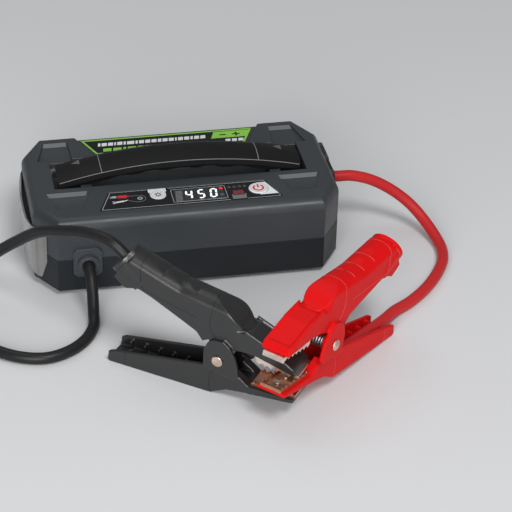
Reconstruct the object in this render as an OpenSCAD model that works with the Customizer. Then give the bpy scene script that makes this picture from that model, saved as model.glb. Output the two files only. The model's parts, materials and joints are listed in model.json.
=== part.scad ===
/* [Case] */
// Length of the case, end to end
case_l = 270; // [250:5:320]
// Depth of the case, front to back
case_d = 145; // [135:5:170]
// Height of the shoulders above the floor
case_top = 74; // [70:1:86]
// Corner chamfer measured along the length
corner_x = 18; // [12:1:24]
// Corner chamfer measured along the depth
corner_y = 27; // [18:1:32]
// Radius of the soft edge round the top
edge_r = 5; // [3:1:7]
// Wall of both shells
wall = 3; // [2.4:0.2:3.6]
// Height of the joint between the two shells
split_z = 36; // [34:1:38]
// Height of the rubber feet under the case
foot_h = 3; // [2:0.5:4]

/* [Handle] */
// Span of the carrying handle along the arch
handle_span = 217; // [200:1:224]
// Width of the handle, front to back
handle_w = 36; // [30:1:36]
// Radius of the arch that the handle follows
arch_r = 430; // [400:10:600]
// Height of the top of the arch above the shoulders
arch_rise = 17.5; // [15:0.5:24]
// Length of the soft grip in the middle
grip_l = 140; // [120:2:150]

/* [Control panel] */
// Width of the panel along its back edge
panel_back_w = 138; // [130:2:144]
// Width of the panel along its front edge
panel_front_w = 160; // [150:2:168]
// Depth of the panel, front to back
panel_d = 29; // [27:1:30]
// Diameter of the power button
power_d = 17; // [14:1:18]
// Diameter of the light button
light_d = 14; // [12:1:15]
// How far each button goes down
press = 0.8; // [0.4:0.1:0.9]

/* [Leads] */
// Diameter of both leads
lead_d = 10; // [8:0.5:10.5]
// Side of the square gland flange
gland_w = 24; // [20:1:26]

/* [Clamps] */
// Length from the pivot to the tip of the jaws
jaw_l = 66; // [60:1:70]
// Length from the pivot to the end of the lower handle
tail_l = 103; // [95:1:110]
// Height of the pivot above the base of the lower handle
pivot_h = 36; // [34:1:40]
// Width over the side walls of one clamp
clamp_w = 26; // [24:1:28]
// Diameter of the pivot rivet
rivet_d = 5; // [4:0.5:6]

/* [Hidden] */
$fn = 48;

// clearances and small standard sizes
gap = 0.3;             // between pieces that only lie side by side
slip = 0.15;           // round a plate in its seat
run = 0.05;            // round a pin in its bore
skin = 0.2;            // under a piece that rests on another
e = 0.01;
big = 400;

// colours
slate = [0.23, 0.25, 0.28];
slate_dark = [0.15, 0.165, 0.185];
soft_black = [0.09, 0.09, 0.10];
mid_black = [0.14, 0.14, 0.15];
gloss_black = [0.04, 0.04, 0.045];
red_plastic = [0.85, 0.10, 0.10];
red_rubber = [0.80, 0.14, 0.14];
copper = [0.80, 0.50, 0.33];
steel = [0.75, 0.75, 0.76];
board_green = [0.10, 0.30, 0.18];
white = [0.93, 0.93, 0.93];

// ---------- case outline ----------

half_l = case_l / 2;
half_d = case_d / 2;
base_z = foot_h;                       // underside of the lower shell
inner_top = case_top - wall;
chamfer_len = norm([corner_x, corner_y]);

// eight corners of the case outline, moved inwards by t
function outline(t) =
    let (l = half_l - t, d = half_d - t,
         cx = corner_x + t * ((chamfer_len - corner_x) / corner_y - 1),
         cy = corner_y + t * ((chamfer_len - corner_y) / corner_x - 1))
    [[l, -d + cy], [l, d - cy], [l - cx, d], [-l + cx, d],
     [-l, d - cy], [-l, -d + cy], [-l + cx, -d], [l - cx, -d]];

module case_prism(z0, z1, t = 0) {
    translate([0, 0, z0]) linear_extrude(z1 - z0) polygon(outline(t));
}

// the outside of the case: straight walls and a rounded top edge
module case_body() {
    hull() {
        case_prism(base_z, case_top - edge_r);
        for (a = [22.5, 45, 67.5, 90])
            case_prism(case_top - edge_r, case_top - edge_r + edge_r * sin(a), edge_r * (1 - cos(a)));
    }
}

// ---------- top of the case ----------

deck_drop = 5;                         // the rear deck lies this far under the shoulders
deck_z = case_top - deck_drop;
deck_back_w = case_l - 96;             // width of the deck at the back edge
deck_front_w = case_l - 129;           // and where it meets the hand trough
handle_y = 7.5;                        // middle of the handle
trough_back = handle_y + handle_w / 2 + 7.5;
trough_front = handle_y - handle_w / 2 - 6.5;
trough_depth = 14;
trough_z = case_top - trough_depth;
trough_l = handle_span + 7;

module deck_cut(grow = 0) {
    translate([0, 0, deck_z - grow]) linear_extrude(big)
        polygon([[-deck_back_w / 2 - grow, half_d + wall], [-deck_front_w / 2 - grow, trough_back + 5],
                 [-deck_front_w / 2 - grow, trough_back - wall], [deck_front_w / 2 + grow, trough_back - wall],
                 [deck_front_w / 2 + grow, trough_back + 5], [deck_back_w / 2 + grow, half_d + wall]]);
}

// the hand trough: sloping front and back walls, upright ends
module trough_cut(grow = 0) {
    rotate([90, 0, 90])
        translate([0, 0, -trough_l / 2 - grow])
            linear_extrude(trough_l + 2 * grow)
                polygon([[trough_front - grow, case_top + wall], [trough_front - grow, case_top],
                         [trough_front + 5 - grow, case_top - 8 - grow],
                             [trough_front + 9 - grow, trough_z - grow],
                         [trough_back - 9 + grow, trough_z - grow],
                             [trough_back - 2 + grow, case_top - 8 - grow],
                         [trough_back + grow, case_top], [trough_back + grow, case_top + wall]]);
}

// four shallow trapezoid pockets in the shoulders
pocket_depth = 3;
pocket_ramp = 6.5;
module shoulder_pocket(front, grow = 0) {
    y = front ? -half_d + 22.5 : half_d - 8.5;
    wide = front ? [[half_l - 53, -22], [half_l - 12, -22]] : [[half_l - 44, 32], [half_l - 13.5, 32]];
    narrow = front ? [[half_l - 22, y], [half_l - 44, y]] : [[half_l - 21, y], [half_l - 43, y]];
    back = front ? wide[0][1] : y;
    floor_z = case_top - pocket_depth - grow;
    intersection() {
        translate([0, 0, floor_z]) linear_extrude(big) offset(delta = grow) polygon(concat(wide, narrow));
        // the back wall of a pocket is a ramp
        rotate([90, 0, 90]) linear_extrude(big)
            polygon([[back - 60, floor_z - 1], [back - pocket_ramp - grow, floor_z - 1],
                [back - pocket_ramp + grow, floor_z],
                     [back + grow, case_top], [back + grow, case_top + 20], [back - 60, case_top + 20]]);
    }
}
module shoulder_pockets(grow = 0) {
    for (side = [0, 1], front = [true, false])
        mirror([side, 0, 0]) shoulder_pocket(front, grow);
}

// ---------- control panel ----------

panel_y0 = 14 - half_d;                // front edge of the panel
panel_y1 = panel_y0 + panel_d;
panel_x = 2;                           // middle of the panel
panel_t = 1.2;
plate_under = case_top - 4;                      // underside of the thick pad that carries the buttons
light_x = -25;
light_y = panel_y0 + 18.5;
flange_t = 1.4;                        // catch under each button
flange_r = 1.8;                        // how far it stands out
power_x = 63;
power_y = panel_y0 + 15.5;
boost_w = 10;
boost_dd = 8;
boost_x = power_x - power_d / 2 - flange_r - 3.2 - boost_w / 2;
boost_y = panel_y0 + 11.5;
display_x = 10.5;
display_y = panel_y0 + 14.6;
display_w = 44;
display_dd = 19;

module panel_shape(t = 0) {
    offset(delta = t)
        polygon([[panel_x - panel_back_w / 2, panel_y1], [panel_x - panel_front_w / 2, panel_y0],
                 [panel_x + panel_front_w / 2, panel_y0], [panel_x + panel_back_w / 2, panel_y1]]);
}
// outline of the light button: round in front, square behind
module light_shape(t = 0) {
    translate([light_x, light_y]) {
        circle(d = light_d + 2 * t);
        translate([-light_d / 2 - t, 0]) square([light_d + 2 * t, light_d / 2 + 2 + t]);
    }
}
module power_shape(t = 0) {
    translate([power_x, power_y]) circle(d = power_d + 2 * t);
}
// the boost button stands clear of the catch under the power button beside it
module boost_shape(t = 0, catch = 0) {
    translate([boost_x - boost_w / 2 - t, boost_y - boost_dd / 2 - t - catch])
        square([boost_w + 2 * t, boost_dd + 2 * t + 2 * catch]);
}
module display_shape(t = 0) {
    translate([display_x - display_w / 2 - t, display_y - display_dd / 2 - t])
        square([display_w + 2 * t, display_dd + 2 * t]);
}
module button_holes() {
    translate([0, 0, plate_under - 8]) linear_extrude(30) {
        light_shape(gap);
        power_shape(gap);
        boost_shape(gap);
        display_shape(-2);
    }
}

// ---------- lamp at the left end ----------

lamp_bulge = 5.5;                      // how far the lens stands out of the end
chamfer_u = [corner_x, -corner_y] / chamfer_len;      // along the front left chamfer, forwards
// a place on the front left chamfer, s along it and t outwards
function on_chamfer(s, t) = [-half_l + chamfer_u[0] * s + chamfer_u[1] * t,
                             -half_d + corner_y + chamfer_u[1] * s - chamfer_u[0] * t];
lamp_s = 19;                           // how far the lens runs along each chamfer
// half of the lens seen from above, from its front tip to the middle: outside, then inside
lens_out = [
    on_chamfer(lamp_s, 0.9), on_chamfer(lamp_s * 0.66, 1.6), on_chamfer(lamp_s * 0.32, 2.2),
    [-half_l - lamp_bulge + 4.1, 28.5 - half_d], [-half_l - lamp_bulge + 2.2, 37.5 - half_d],
        [-half_l - lamp_bulge + 0.9, -24],
    [-half_l - lamp_bulge + 0.2, -12], [-half_l - lamp_bulge, 0]];
lens_in = [
    on_chamfer(lamp_s, 0.1), on_chamfer(lamp_s * 0.66, 0.1), on_chamfer(lamp_s * 0.2, 0.25),
    [-half_l - 0.35, 27.5 - half_d], [-half_l - lamp_bulge + 4.2, 37.5 - half_d],
        [-half_l - lamp_bulge + 2.9, -24],
    [-half_l - lamp_bulge + 2.2, -12], [-half_l - lamp_bulge + 2, 0]];
function backwards(v) = [for (i = [len(v) - 1:-1:0]) v[i]];
function both_halves(v) = concat(v, [for (i = [len(v) - 2:-1:0]) [v[i][0], -v[i][1]]]);
lamp_y = half_d - 11.5;                // half the width of the lens
lamp_top = case_top - 16;
lamp_side = [[-lamp_y, lamp_top - 4], [-lamp_y, 28], [6 - lamp_y, 10], [lamp_y - 6, 10], [lamp_y, 28],
    [lamp_y, lamp_top - 4],
             [lamp_y - 11, lamp_top], [22, lamp_top - 6], [-22, lamp_top - 6], [11 - lamp_y, lamp_top]];
window_y = half_d - corner_y - 5.5;    // half width of the opening behind the lens
window_z0 = 20;
window_z1 = case_top - 26;

module lamp_window(t = 0) {
    translate([-half_l - 12, -window_y - t, window_z0 - t])
        cube([16 + wall, 2 * (window_y + t), window_z1 - window_z0 + 2 * t]);
}

// ---------- glands ----------

gland_t = 3;                           // flange thickness outside the wall
gland_neck_d = lead_d + 6;             // stub that passes the wall
nose_d = lead_d + 8;
nose_l = 8;
black_gland = [43.5 - half_l, -half_d, split_z - 2];    // middle of the flange on the front wall
red_gland = [half_l, half_d - corner_y - 45.5, case_top - 21];           // and on the right end

gland_h = 27;
red_nose_l = 5;

// a gland facing -Y with its wall plane at y = 0: flange, nose, stub through the wall and nut inside
module gland(nose) {
    difference() {
        union() {
            translate([0, -skin / 4, 0]) rotate([90, 0, 0]) linear_extrude(gland_t) difference() {
                square([gland_w, gland_h], center = true);
                for (x = [-1, 1], z = [-1, 1])
                    translate([x * gland_w / 2, z * gland_h / 2]) rotate(45) square(5, center = true);
            }
            rotate([90, 0, 0]) cylinder(d = nose_d, h = nose);
            translate([0, wall + 2, 0]) rotate([90, 0, 0]) cylinder(d = gland_neck_d, h = wall + 3);
            translate([0, wall + 4, 0]) rotate([90, 0, 0]) cylinder(d = gland_neck_d + 4, h = 4 - skin);
        }
        translate([0, wall + 5, 0]) rotate([90, 0, 0]) cylinder(d = lead_d + 0.6, h = nose + wall + 10);
    }
}
module gland_hole(at, turn) {
    translate(at) rotate([0, 0, turn]) rotate([90, 0, 0])
        translate([0, 0, -wall - 8]) cylinder(d = gland_neck_d + 2 * slip, h = wall + 16);
}

// ---------- screws and posts of the case ----------

post_x = half_l - 31;
post_y = half_d - 16.5;
post_d = 9;
screw_d = 3.5;
screw_head_d = 6.6;
screw_head_h = 2.4;
screw_seat_z = 20;
screw_tip_z = 50;

module at_posts() {
    for (x = [-1, 1], y = [-1, 1]) translate([x * post_x, y * post_y, 0]) children();
}

// ---------- right end: sockets behind a rubber cover ----------

cover_w = 27;
cover_y1 = half_d - corner_y - 2.5;
cover_y0 = cover_y1 - cover_w;
cover_z0 = 22;
cover_z1 = case_top - 14;
cover_t = 2;
hinge_x = half_l + 3.1;
hinge_z = cover_z1 + 2;
hinge_r = 2.4;
cover_pin_d = 2;
port_x1 = half_l - wall - 1;
knuckle_l = 5.7;

module port_window(t = 0) {
    translate([half_l - wall - 6, cover_y0 + 3 - t, cover_z0 + 4 - t])
        cube([wall + 12, cover_y1 - cover_y0 - 6 + 2 * t, cover_z1 - cover_z0 - 9 + 2 * t]);
}
seat_depth = 1.2;
module cover_seat() {
    translate([half_l - seat_depth, cover_y0 - gap, cover_z0 - gap])
        cube([10, cover_y1 - cover_y0 + 2 * gap, cover_z1 - cover_z0 + 2 + 2 * gap]);
}

// ---------- shells ----------

module shell_openings() {
    gland_hole(black_gland, 0);
    gland_hole(red_gland, 90);
    lamp_window();
    port_window();
    cover_seat();
}

module upper_hollow() {
    // leaves skins under the deck, the trough, the pockets and the panel
    difference() {
        case_prism(split_z - 1, inner_top, wall);
        deck_cut(wall);
        trough_cut(wall);
        shoulder_pockets(wall);
        translate([0, 0, plate_under]) linear_extrude(big) panel_shape(3);
    }
}
module upper_posts() {
    difference() {
        at_posts() translate([0, 0, split_z + skin]) cylinder(d = post_d, h = inner_top - split_z - skin + 1);
        at_posts() translate([0, 0, split_z - 1]) cylinder(d = screw_d - 0.4, h = screw_tip_z - split_z + 2);
    }
    difference() {
        at_board_posts() translate([0, 0, board_top]) cylinder(d = 5.5, h = inner_top - board_top + 1);
        at_board_posts() translate([0, 0, board_z]) cylinder(d = 1.9, h = 8);
    }
}
module upper_shell() color(slate) {
    difference() {
        union() {
            difference() {
                intersection() {
                    case_body();
                    translate([-big / 2, -big / 2, split_z]) cube(big);
                }
                upper_hollow();
            }
            upper_posts();
        }
        deck_cut();
        trough_cut();
        shoulder_pockets();
        translate([0, 0, panel_z]) linear_extrude(big) panel_shape(slip);
        button_holes();
        shell_openings();
        handle_screw_holes();
        status_holes(0.3);
    }
    // small ledges on the front wall of the trough, under the handle
    for (x = [-1, 1])
        translate([x * 84 - 5, trough_front, case_top - 5]) cube([10, 6, 4]);
    // two knuckles for the socket cover
    difference() {
        for (y = [cover_y0, cover_y1 - knuckle_l]) {
            translate([half_l - wall, y, hinge_z - hinge_r])
                cube([hinge_x - half_l + wall, knuckle_l, 2 * hinge_r]);
            translate([hinge_x, y, hinge_z]) rotate([-90, 0, 0]) cylinder(r = hinge_r, h = knuckle_l);
        }
        translate([hinge_x, cover_y0 - 1, hinge_z]) rotate([-90, 0, 0])
            cylinder(d = cover_pin_d + 2 * run, h = 40);
    }
}

base_edge = 2.5;                       // chamfer round the underside
module lower_shell() color(slate_dark) {
    difference() {
        hull() {
            case_prism(base_z, base_z + skin, base_edge);
            case_prism(base_z + base_edge, split_z - skin / 2);
        }
        case_prism(base_z + wall, split_z + 1, wall);
        shell_openings();
        at_posts() translate([0, 0, base_z - 1]) cylinder(d = screw_head_d + 1, h = screw_seat_z - base_z + 1);
        foot_sockets();
    }
    // screw posts, bored right through
    difference() {
        at_posts() translate([0, 0, base_z]) cylinder(d = post_d + 3, h = split_z - skin / 2 - base_z);
        at_posts() translate([0, 0, base_z - 1]) cylinder(d = screw_head_d + 1, h = screw_seat_z - base_z + 1);
        at_posts() translate([0, 0, base_z - 1]) cylinder(d = screw_d + 0.4, h = split_z);
    }
    // ribs under the battery tray
    for (x = [-70:35:35])
        translate([x, -42, base_z + wall - e]) cube([3, 84, 2]);
    // posts under the power board
    for (x = [72, 112], y = [-30, 12])
        translate([x, y, base_z + wall - e]) cylinder(d = 6, h = 6);
}

module case_screws() color(steel)
    at_posts() {
        translate([0, 0, screw_seat_z - screw_head_h]) cylinder(d = screw_head_d, h = screw_head_h);
        translate([0, 0, screw_seat_z - e]) cylinder(d = screw_d - 0.5, h = screw_tip_z - screw_seat_z);
    }

// ---------- feet ----------

foot_x = half_l - 54.4;
foot_y = half_d - 14.5;
foot_d = 16;
foot_plug_d = 8;
module at_feet() {
    for (x = [-1, 1], y = [-1, 1]) translate([x * foot_x, y * foot_y, 0]) children();
}
module foot_sockets() {
    at_feet() translate([0, 0, base_z - e]) cylinder(d = foot_plug_d, h = 1.6 + e);
}
module rubber_feet() color(soft_black)
    at_feet() {
        cylinder(d1 = foot_d - 2, d2 = foot_d, h = 1);
        translate([0, 0, 1 - e]) cylinder(d = foot_d, h = foot_h - 1 + e);
        translate([0, 0, foot_h - e]) cylinder(d = foot_plug_d - 0.1, h = 1.5);
    }

// ---------- handle ----------

arch_top = case_top + arch_rise;       // outside of the arch at its middle
arch_c = arch_top - arch_r;            // height of the arch centre
handle_t = 11.5;                       // thickness of the section
hw = handle_w / 2;

// outline of the handle section: first number outwards from the arch centre, second front to back
function section_points(t) = [
    [-handle_t + t, -hw + 1.2 + t], [-7.5, -hw + t], [-3 - t / 2, -hw + 0.6 + t], [-1.2 - t, -hw + 6 + t],
    [-t, -2], [-0.6 - t, 8], [-2.6 - t, hw - 4 - t], [-5.6, hw - 0.8 - t], [-9, hw - t],
        [-handle_t + t, hw - 1.4 - t]];

// the section swept along the arch between two angles
module arch_sweep(a0, a1, t = 0) {
    translate([0, handle_y, arch_c]) rotate([90, 0, 0]) rotate([0, 0, 90 - a1])
        rotate_extrude(angle = a1 - a0, $fn = 360)
            translate([arch_r, 0]) polygon([for (p = section_points(t)) [p[0], -p[1]]]);
}
function arch_angle(x) = asin(x / arch_r);
grip_a = arch_angle(grip_l / 2);
end_a = arch_angle(handle_span / 2);
core_wide = 14;
core_t = 5;
core_a = arch_angle(handle_span / 2 - 8);
core_foot_x = handle_span / 2 - 14;
core_foot_d = 11;

// the rigid bar inside the handle
module core_bar(t = 0) {
    translate([0, handle_y, arch_c]) rotate([90, 0, 0]) rotate([0, 0, 90 - core_a - t / 4])
        rotate_extrude(angle = 2 * core_a + t / 2, $fn = 360)
            translate([arch_r - 3.2 - core_t - t, -core_wide / 2 - t])
                square([core_t + 2 * t, core_wide + 2 * t]);
}
module at_core_feet() {
    for (x = [-1, 1]) translate([x * core_foot_x, handle_y, 0]) children();
}
core_foot_top = arch_c + sqrt(pow(arch_r - 5, 2) - pow(core_foot_x, 2));

module handle_core() color(mid_black) {
    difference() {
        union() {
            core_bar();
            at_core_feet() translate([0, 0, trough_z + skin])
                cylinder(d = core_foot_d, h = core_foot_top - trough_z - skin);
        }
        at_core_feet() translate([0, 0, trough_z]) cylinder(d = 3.1, h = 9);
    }
}

module handle_hollow() {
    core_bar(slip);
    at_core_feet() translate([0, 0, trough_z - 1])
        cylinder(d = core_foot_d + 2 * slip, h = core_foot_top - trough_z + 1);
}

scallop_r = 26;
module handle_grip() color(soft_black)
    difference() {
        arch_sweep(-grip_a, grip_a);
        core_bar(slip);
        // finger waves along the lower front edge
        for (i = [-2:1:2])
            translate([i * 25, handle_y - hw,
                arch_c + sqrt(pow(arch_r - handle_t, 2) - pow(i * 25, 2)) - scallop_r + 1.6])
                rotate([90, 0, 0]) cylinder(r = scallop_r, h = 16, center = true, $fn = 96);
    }

block_x1 = core_foot_x + 10;
block_x0 = max(core_foot_x - 12, grip_l / 2 + gap);
module handle_end() {
    difference() {
        union() {
            arch_sweep(grip_a + 0.04, end_a);
            // block that fills the end down into the trough
            translate([block_x0, handle_y - hw + 4, trough_z + skin])
                cube([block_x1 - block_x0, handle_w - 9,
                    arch_c + sqrt(pow(arch_r - 7, 2) - pow(block_x1, 2)) - trough_z - skin]);
        }
        handle_hollow();
    }
}
module handle_end_right() color(mid_black) handle_end();
module handle_end_left() color(mid_black) mirror([1, 0, 0]) handle_end();

module handle_screw_holes() {
    at_core_feet() translate([0, 0, trough_z - wall - 1]) cylinder(d = 3.6, h = wall + 2);
}
module handle_screws() color(steel)
    at_core_feet() {
        translate([0, 0, trough_z - wall - 2.4]) cylinder(d = 7, h = 2.4);
        translate([0, 0, trough_z - wall - e]) cylinder(d = 3, h = wall + 8);
    }

// ---------- label plate on the rear deck ----------

label_t = 0.5;
module deck_label() color(gloss_black)
    translate([0, 0, deck_z]) linear_extrude(label_t)
        polygon([[8 - deck_back_w / 2, half_d - 2.5], [2.5 - deck_front_w / 2, trough_back + 12],
                 [deck_front_w / 2 - 2.5, trough_back + 12], [deck_back_w / 2 - 8, half_d - 2.5]]);

// ---------- control panel pieces ----------

panel_z = case_top - panel_t;
module control_panel() color(gloss_black)
    translate([0, 0, panel_z]) linear_extrude(panel_t) difference() {
        panel_shape();
        light_shape(gap);
        power_shape(gap);
        boost_shape(gap);
        display_shape(slip);
        status_lights(0.9);
    }

module display_window() color([0.08, 0.09, 0.10])
    translate([0, 0, panel_z]) linear_extrude(panel_t) display_shape();

board_z = case_top - 14;               // underside of the control board
board_t = 1.6;
board_top = board_z + board_t;
display_top = panel_z - 0.3;
module display_module() color(white)
    translate([display_x - display_w / 2 + 2.5, display_y - display_dd / 2 + 2.5, board_top])
        cube([display_w - 5, display_dd - 5, display_top - board_top]);

switch_h = 4;                          // height of a push switch with its plunger
catch_top = plate_under - gap;
module stem(x, y) {
    z = board_top + switch_h + press + gap;
    translate([x, y, z]) cylinder(d = 5, h = catch_top - flange_t - z + e);
}
module light_button() color(white) {
    translate([0, 0, catch_top - e]) linear_extrude(case_top - catch_top + 0.4) light_shape();
    translate([0, 0, catch_top - flange_t]) linear_extrude(flange_t) light_shape(flange_r);
    stem(light_x, light_y);
}
module power_button() color(white) {
    translate([0, 0, catch_top - e]) linear_extrude(case_top - catch_top + 0.8) power_shape();
    translate([0, 0, catch_top - flange_t]) linear_extrude(flange_t) power_shape(flange_r);
    stem(power_x, power_y);
}
module boost_button() color([0.45, 0.45, 0.47]) {
    translate([0, 0, catch_top - e]) linear_extrude(case_top - catch_top + 0.3) boost_shape();
    translate([0, 0, catch_top - flange_t]) linear_extrude(flange_t) boost_shape(0, flange_r);
    stem(boost_x, boost_y);
}

led_y = panel_y1 - 7.5;
module status_lights(r) {
    for (i = [0:3]) translate([38 + 4.6 * i, led_y]) circle(r = r, $fn = 24);
}
module status_holes(t) {
    translate([0, 0, plate_under - 1]) linear_extrude(10) status_lights(0.9 + t);
}
module status_leds() color([0.75, 0.85, 0.75])
    translate([0, 0, board_top]) linear_extrude(case_top - 0.4 - board_top) status_lights(0.8);

module button_switches() color(mid_black)
    for (p = [[light_x, light_y], [power_x, power_y], [boost_x, boost_y]])
        translate([p[0], p[1], board_top]) {
            translate([-3, -3, 0]) cube([6, 6, 3.2]);
            translate([0, 0, 3.2 - e]) cylinder(d = 3.4, h = switch_h - 3.2);
        }

board_x0 = -56;
board_x1 = 78;
board_y0 = 12.5 - half_d;
board_y1 = panel_y1 + 3.5;
module at_board_posts() {
    for (x = [board_x0 + 4, board_x1 - 4], y = [board_y0 + 4, board_y1 - 4]) translate([x, y, 0]) children();
}
module control_board() color(board_green)
    translate([0, 0, board_z]) linear_extrude(board_t) difference() {
        translate([board_x0, board_y0]) square([board_x1 - board_x0, board_y1 - board_y0]);
        at_board_posts() circle(d = 2.2, $fn = 24);
    }
module board_screws() color(steel)
    at_board_posts() {
        translate([0, 0, board_z - 1.6]) cylinder(d = 4.2, h = 1.6);
        translate([0, 0, board_z - e]) cylinder(d = 1.8, h = 7);
    }

// ---------- battery and power parts ----------

tray_z = base_z + wall + 2;
tray_x0 = -92;
tray_l = 150;
tray_y = 40;
tray_t = 2;
cell_h = 8;
cell_pitch = 9;
cells = 4;
module battery_tray() color(mid_black)
    difference() {
        translate([tray_x0, -tray_y, tray_z]) cube([tray_l, 2 * tray_y, 16]);
        translate([tray_x0 + tray_t, -tray_y + tray_t, tray_z + tray_t])
            cube([tray_l - 2 * tray_t, 2 * tray_y - 2 * tray_t, 16]);
    }
cell_z0 = tray_z + tray_t;
module battery_cells() color([0.55, 0.60, 0.66])
    for (i = [0:cells - 1])
        translate([tray_x0 + tray_t + 0.5, -tray_y + tray_t + 0.5, cell_z0 + i * cell_pitch])
            cube([tray_l - 2 * tray_t - 1, 2 * tray_y - 2 * tray_t - 1, cell_h]);
module cell_pads() color([0.85, 0.85, 0.80])
    for (i = [0:cells - 1])
        translate([tray_x0 + 12, -tray_y + 12, cell_z0 + i * cell_pitch + cell_h])
            cube([tray_l - 24, 2 * tray_y - 24, cell_pitch - cell_h]);

bar_x0 = tray_x0 + tray_l - 2.4;
bar_x1 = 70;
board2_z = base_z + wall + 6;          // underside of the power board
board2_top = board2_z + 1.6;
// two bent copper bars from the cells down to the power board
module bus_bars() color(copper)
    for (y = [-30, 5]) {
        translate([bar_x0, y, cell_z0 + 18]) cube([bar_x1 - bar_x0, 10, 2]);
        translate([bar_x1 - 2, y, board2_top + e]) cube([2, 10, cell_z0 + 18 - board2_top + e]);
    }
module power_board() color(board_green)
    translate([66, -36, board2_z]) cube([52, 54, board2_top - board2_z]);
module relay() color(gloss_black)
    translate([73, -26, board2_top + e]) cube([30, 34, 13]);
module cell_harness() color([0.9, 0.9, 0.85])
    translate([18, -8, cell_z0 + cells * cell_pitch + e]) cube([24, 16, 5]);

// ---------- lamp pieces ----------

module lamp_lens() color([0.88, 0.88, 0.84, 0.7])
    intersection() {
        linear_extrude(80) polygon(concat(both_halves(lens_out), backwards(both_halves(lens_in))));
        rotate([90, 0, 90]) translate([0, 0, -half_l - 12]) linear_extrude(40) polygon(lamp_side);
    }
// foam frame between the end wall and the lens
module lamp_gasket() color(soft_black)
    intersection() {
        linear_extrude(80) polygon(concat(
            [for (p = both_halves(lens_in)) if (abs(p[1]) < half_d - corner_y) [p[0] + skin / 2, p[1]]],
            [[-half_l - 0.05, half_d - corner_y], [-half_l - 0.05, corner_y - half_d]]));
        difference() {
            lamp_window(3);
            lamp_window(0.5);
        }
    }
cup_pitch = 2 * (window_y - 1) / 5;
cup_w = cup_pitch - 2.4;
reflector_x1 = -half_l + wall + 4;
module lamp_reflector() color(white)
    difference() {
        translate([-half_l, -window_y + gap, window_z0 + gap])
            cube([reflector_x1 + half_l, 2 * (window_y - gap), window_z1 - window_z0 - 2 * gap]);
        for (i = [-2:2])
            translate([-half_l - 1, cup_pitch * i - cup_w / 2, window_z0 + 3])
                cube([30, cup_w, window_z1 - window_z0 - 6]);
    }
module lamp_led_board() color(board_green)
    translate([reflector_x1 + skin, -window_y - 2, window_z0 - 2])
        cube([1.6, 2 * window_y + 4, window_z1 - window_z0 + 4]);

// ---------- right end pieces ----------

module port_block() color(mid_black)
    difference() {
        translate([port_x1 - 16, cover_y0 + 3.3, cover_z0 + 4.3])
            cube([16 + wall, cover_y1 - cover_y0 - 6.6, cover_z1 - cover_z0 - 9.6]);
        // a wide socket, a narrow one and a round one
        translate([port_x1 - 11, cover_y0 + 7.2, 44]) cube([30, 12.6, 5.4]);
        translate([port_x1 - 8, cover_y0 + 9, 38]) cube([30, 9, 3.2]);
        translate([port_x1 - 11, cover_y0 + 13.5, 31]) rotate([0, 90, 0]) cylinder(d = 6.4, h = 30);
    }

module port_cover() color(soft_black)
    difference() {
        union() {
            translate([half_l - seat_depth + gap, cover_y0, cover_z0])
                cube([cover_t + seat_depth - gap, cover_y1 - cover_y0, cover_z1 - cover_z0 - 1.5]);
            translate([half_l + 0.4, cover_y0 + 6, hinge_z - 5])
                cube([hinge_x - half_l - 0.4, cover_y1 - cover_y0 - 12, 5]);
            translate([hinge_x, cover_y0 + 6, hinge_z]) rotate([-90, 0, 0])
                cylinder(r = hinge_r, h = cover_y1 - cover_y0 - 12);
            // pull tab at the bottom
            translate([half_l + cover_t - e, (cover_y0 + cover_y1) / 2 - 5, cover_z0 + 1]) cube([2.4, 10, 2.4]);
        }
        translate([hinge_x, cover_y0, hinge_z]) rotate([-90, 0, 0]) cylinder(d = cover_pin_d + 2 * run, h = 40);
    }
module port_cover_pin() color(steel)
    translate([hinge_x, cover_y0 + 0.2, hinge_z]) rotate([-90, 0, 0])
        cylinder(d = cover_pin_d, h = cover_y1 - cover_y0 - 0.4);

module black_lead_gland() color(soft_black) translate(black_gland) gland(nose_l);
module red_lead_gland() color(soft_black) translate(red_gland) rotate([0, 0, 90]) gland(red_nose_l);

// ---------- tubes ----------

// a point on the smooth curve through a list of points, at place u of stretch i
function pick(v, i) = v[max(0, min(len(v) - 1, i))];
function smooth_point(v, i, u) =
    let (a = pick(v, i - 1), b = pick(v, i), c = pick(v, i + 1), d = pick(v, i + 2))
    0.5 * (2 * b + (c - a) * u + (2 * a - 5 * b + 4 * c - d) * u * u + (3 * b - a - 3 * c + d) * u * u * u);
function smooth_path(v, per) = concat(
    [for (i = [0:len(v) - 2], k = [0:per - 1]) smooth_point(v, i, k / per)], [v[len(v) - 1]]);
function unit(v) = v / norm(v);
function heading_at(p, i) = unit(pick(p, i + 1) - pick(p, i - 1));

// one closed tube along a path that never runs straight up
module tube(path, d, sides) {
    n = len(path);
    rings = [for (i = [0:n - 1])
        let (t = heading_at(path, i), s = unit(cross(t, [0, 0, 1])), u = cross(s, t))
        for (k = [0:sides - 1])
            path[i] + d / 2 * (cos(360 * k / sides) * s + sin(360 * k / sides) * u)];
    walls = [for (i = [0:n - 2], k = [0:sides - 1])
        let (a = i * sides + k, b = i * sides + (k + 1) % sides)
        each [[a, a + sides, b], [b, a + sides, b + sides]]];
    first = [for (k = [1:sides - 2]) [0, k, k + 1]];
    last = [for (k = [1:sides - 2]) [(n - 1) * sides, (n - 1) * sides + k + 1, (n - 1) * sides + k]];
    polyhedron(points = rings, faces = concat(walls, first, last), convexity = 8);
}

// ---------- clamps ----------
// Each clamp is drawn with its pivot at the origin, its jaws along +X, its width along Y and up as +Z.

black_pivot = [1.4, -224, 36];
black_heading = -37;
red_pivot = [75, -234, 47.2];
red_heading = 223.5;
red_pitch = 6.4;                       // the red clamp's jaws lie on the black one's
black_open = 0;                        // how far each upper arm is turned up from the drawn shape
red_open = 9;

function turned(p, a) = [p[0] * cos(a) - p[2] * sin(a), p[1], p[0] * sin(a) + p[2] * cos(a)];
function headed(p, a) = [p[0] * cos(a) - p[1] * sin(a), p[0] * sin(a) + p[1] * cos(a), p[2]];
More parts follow.
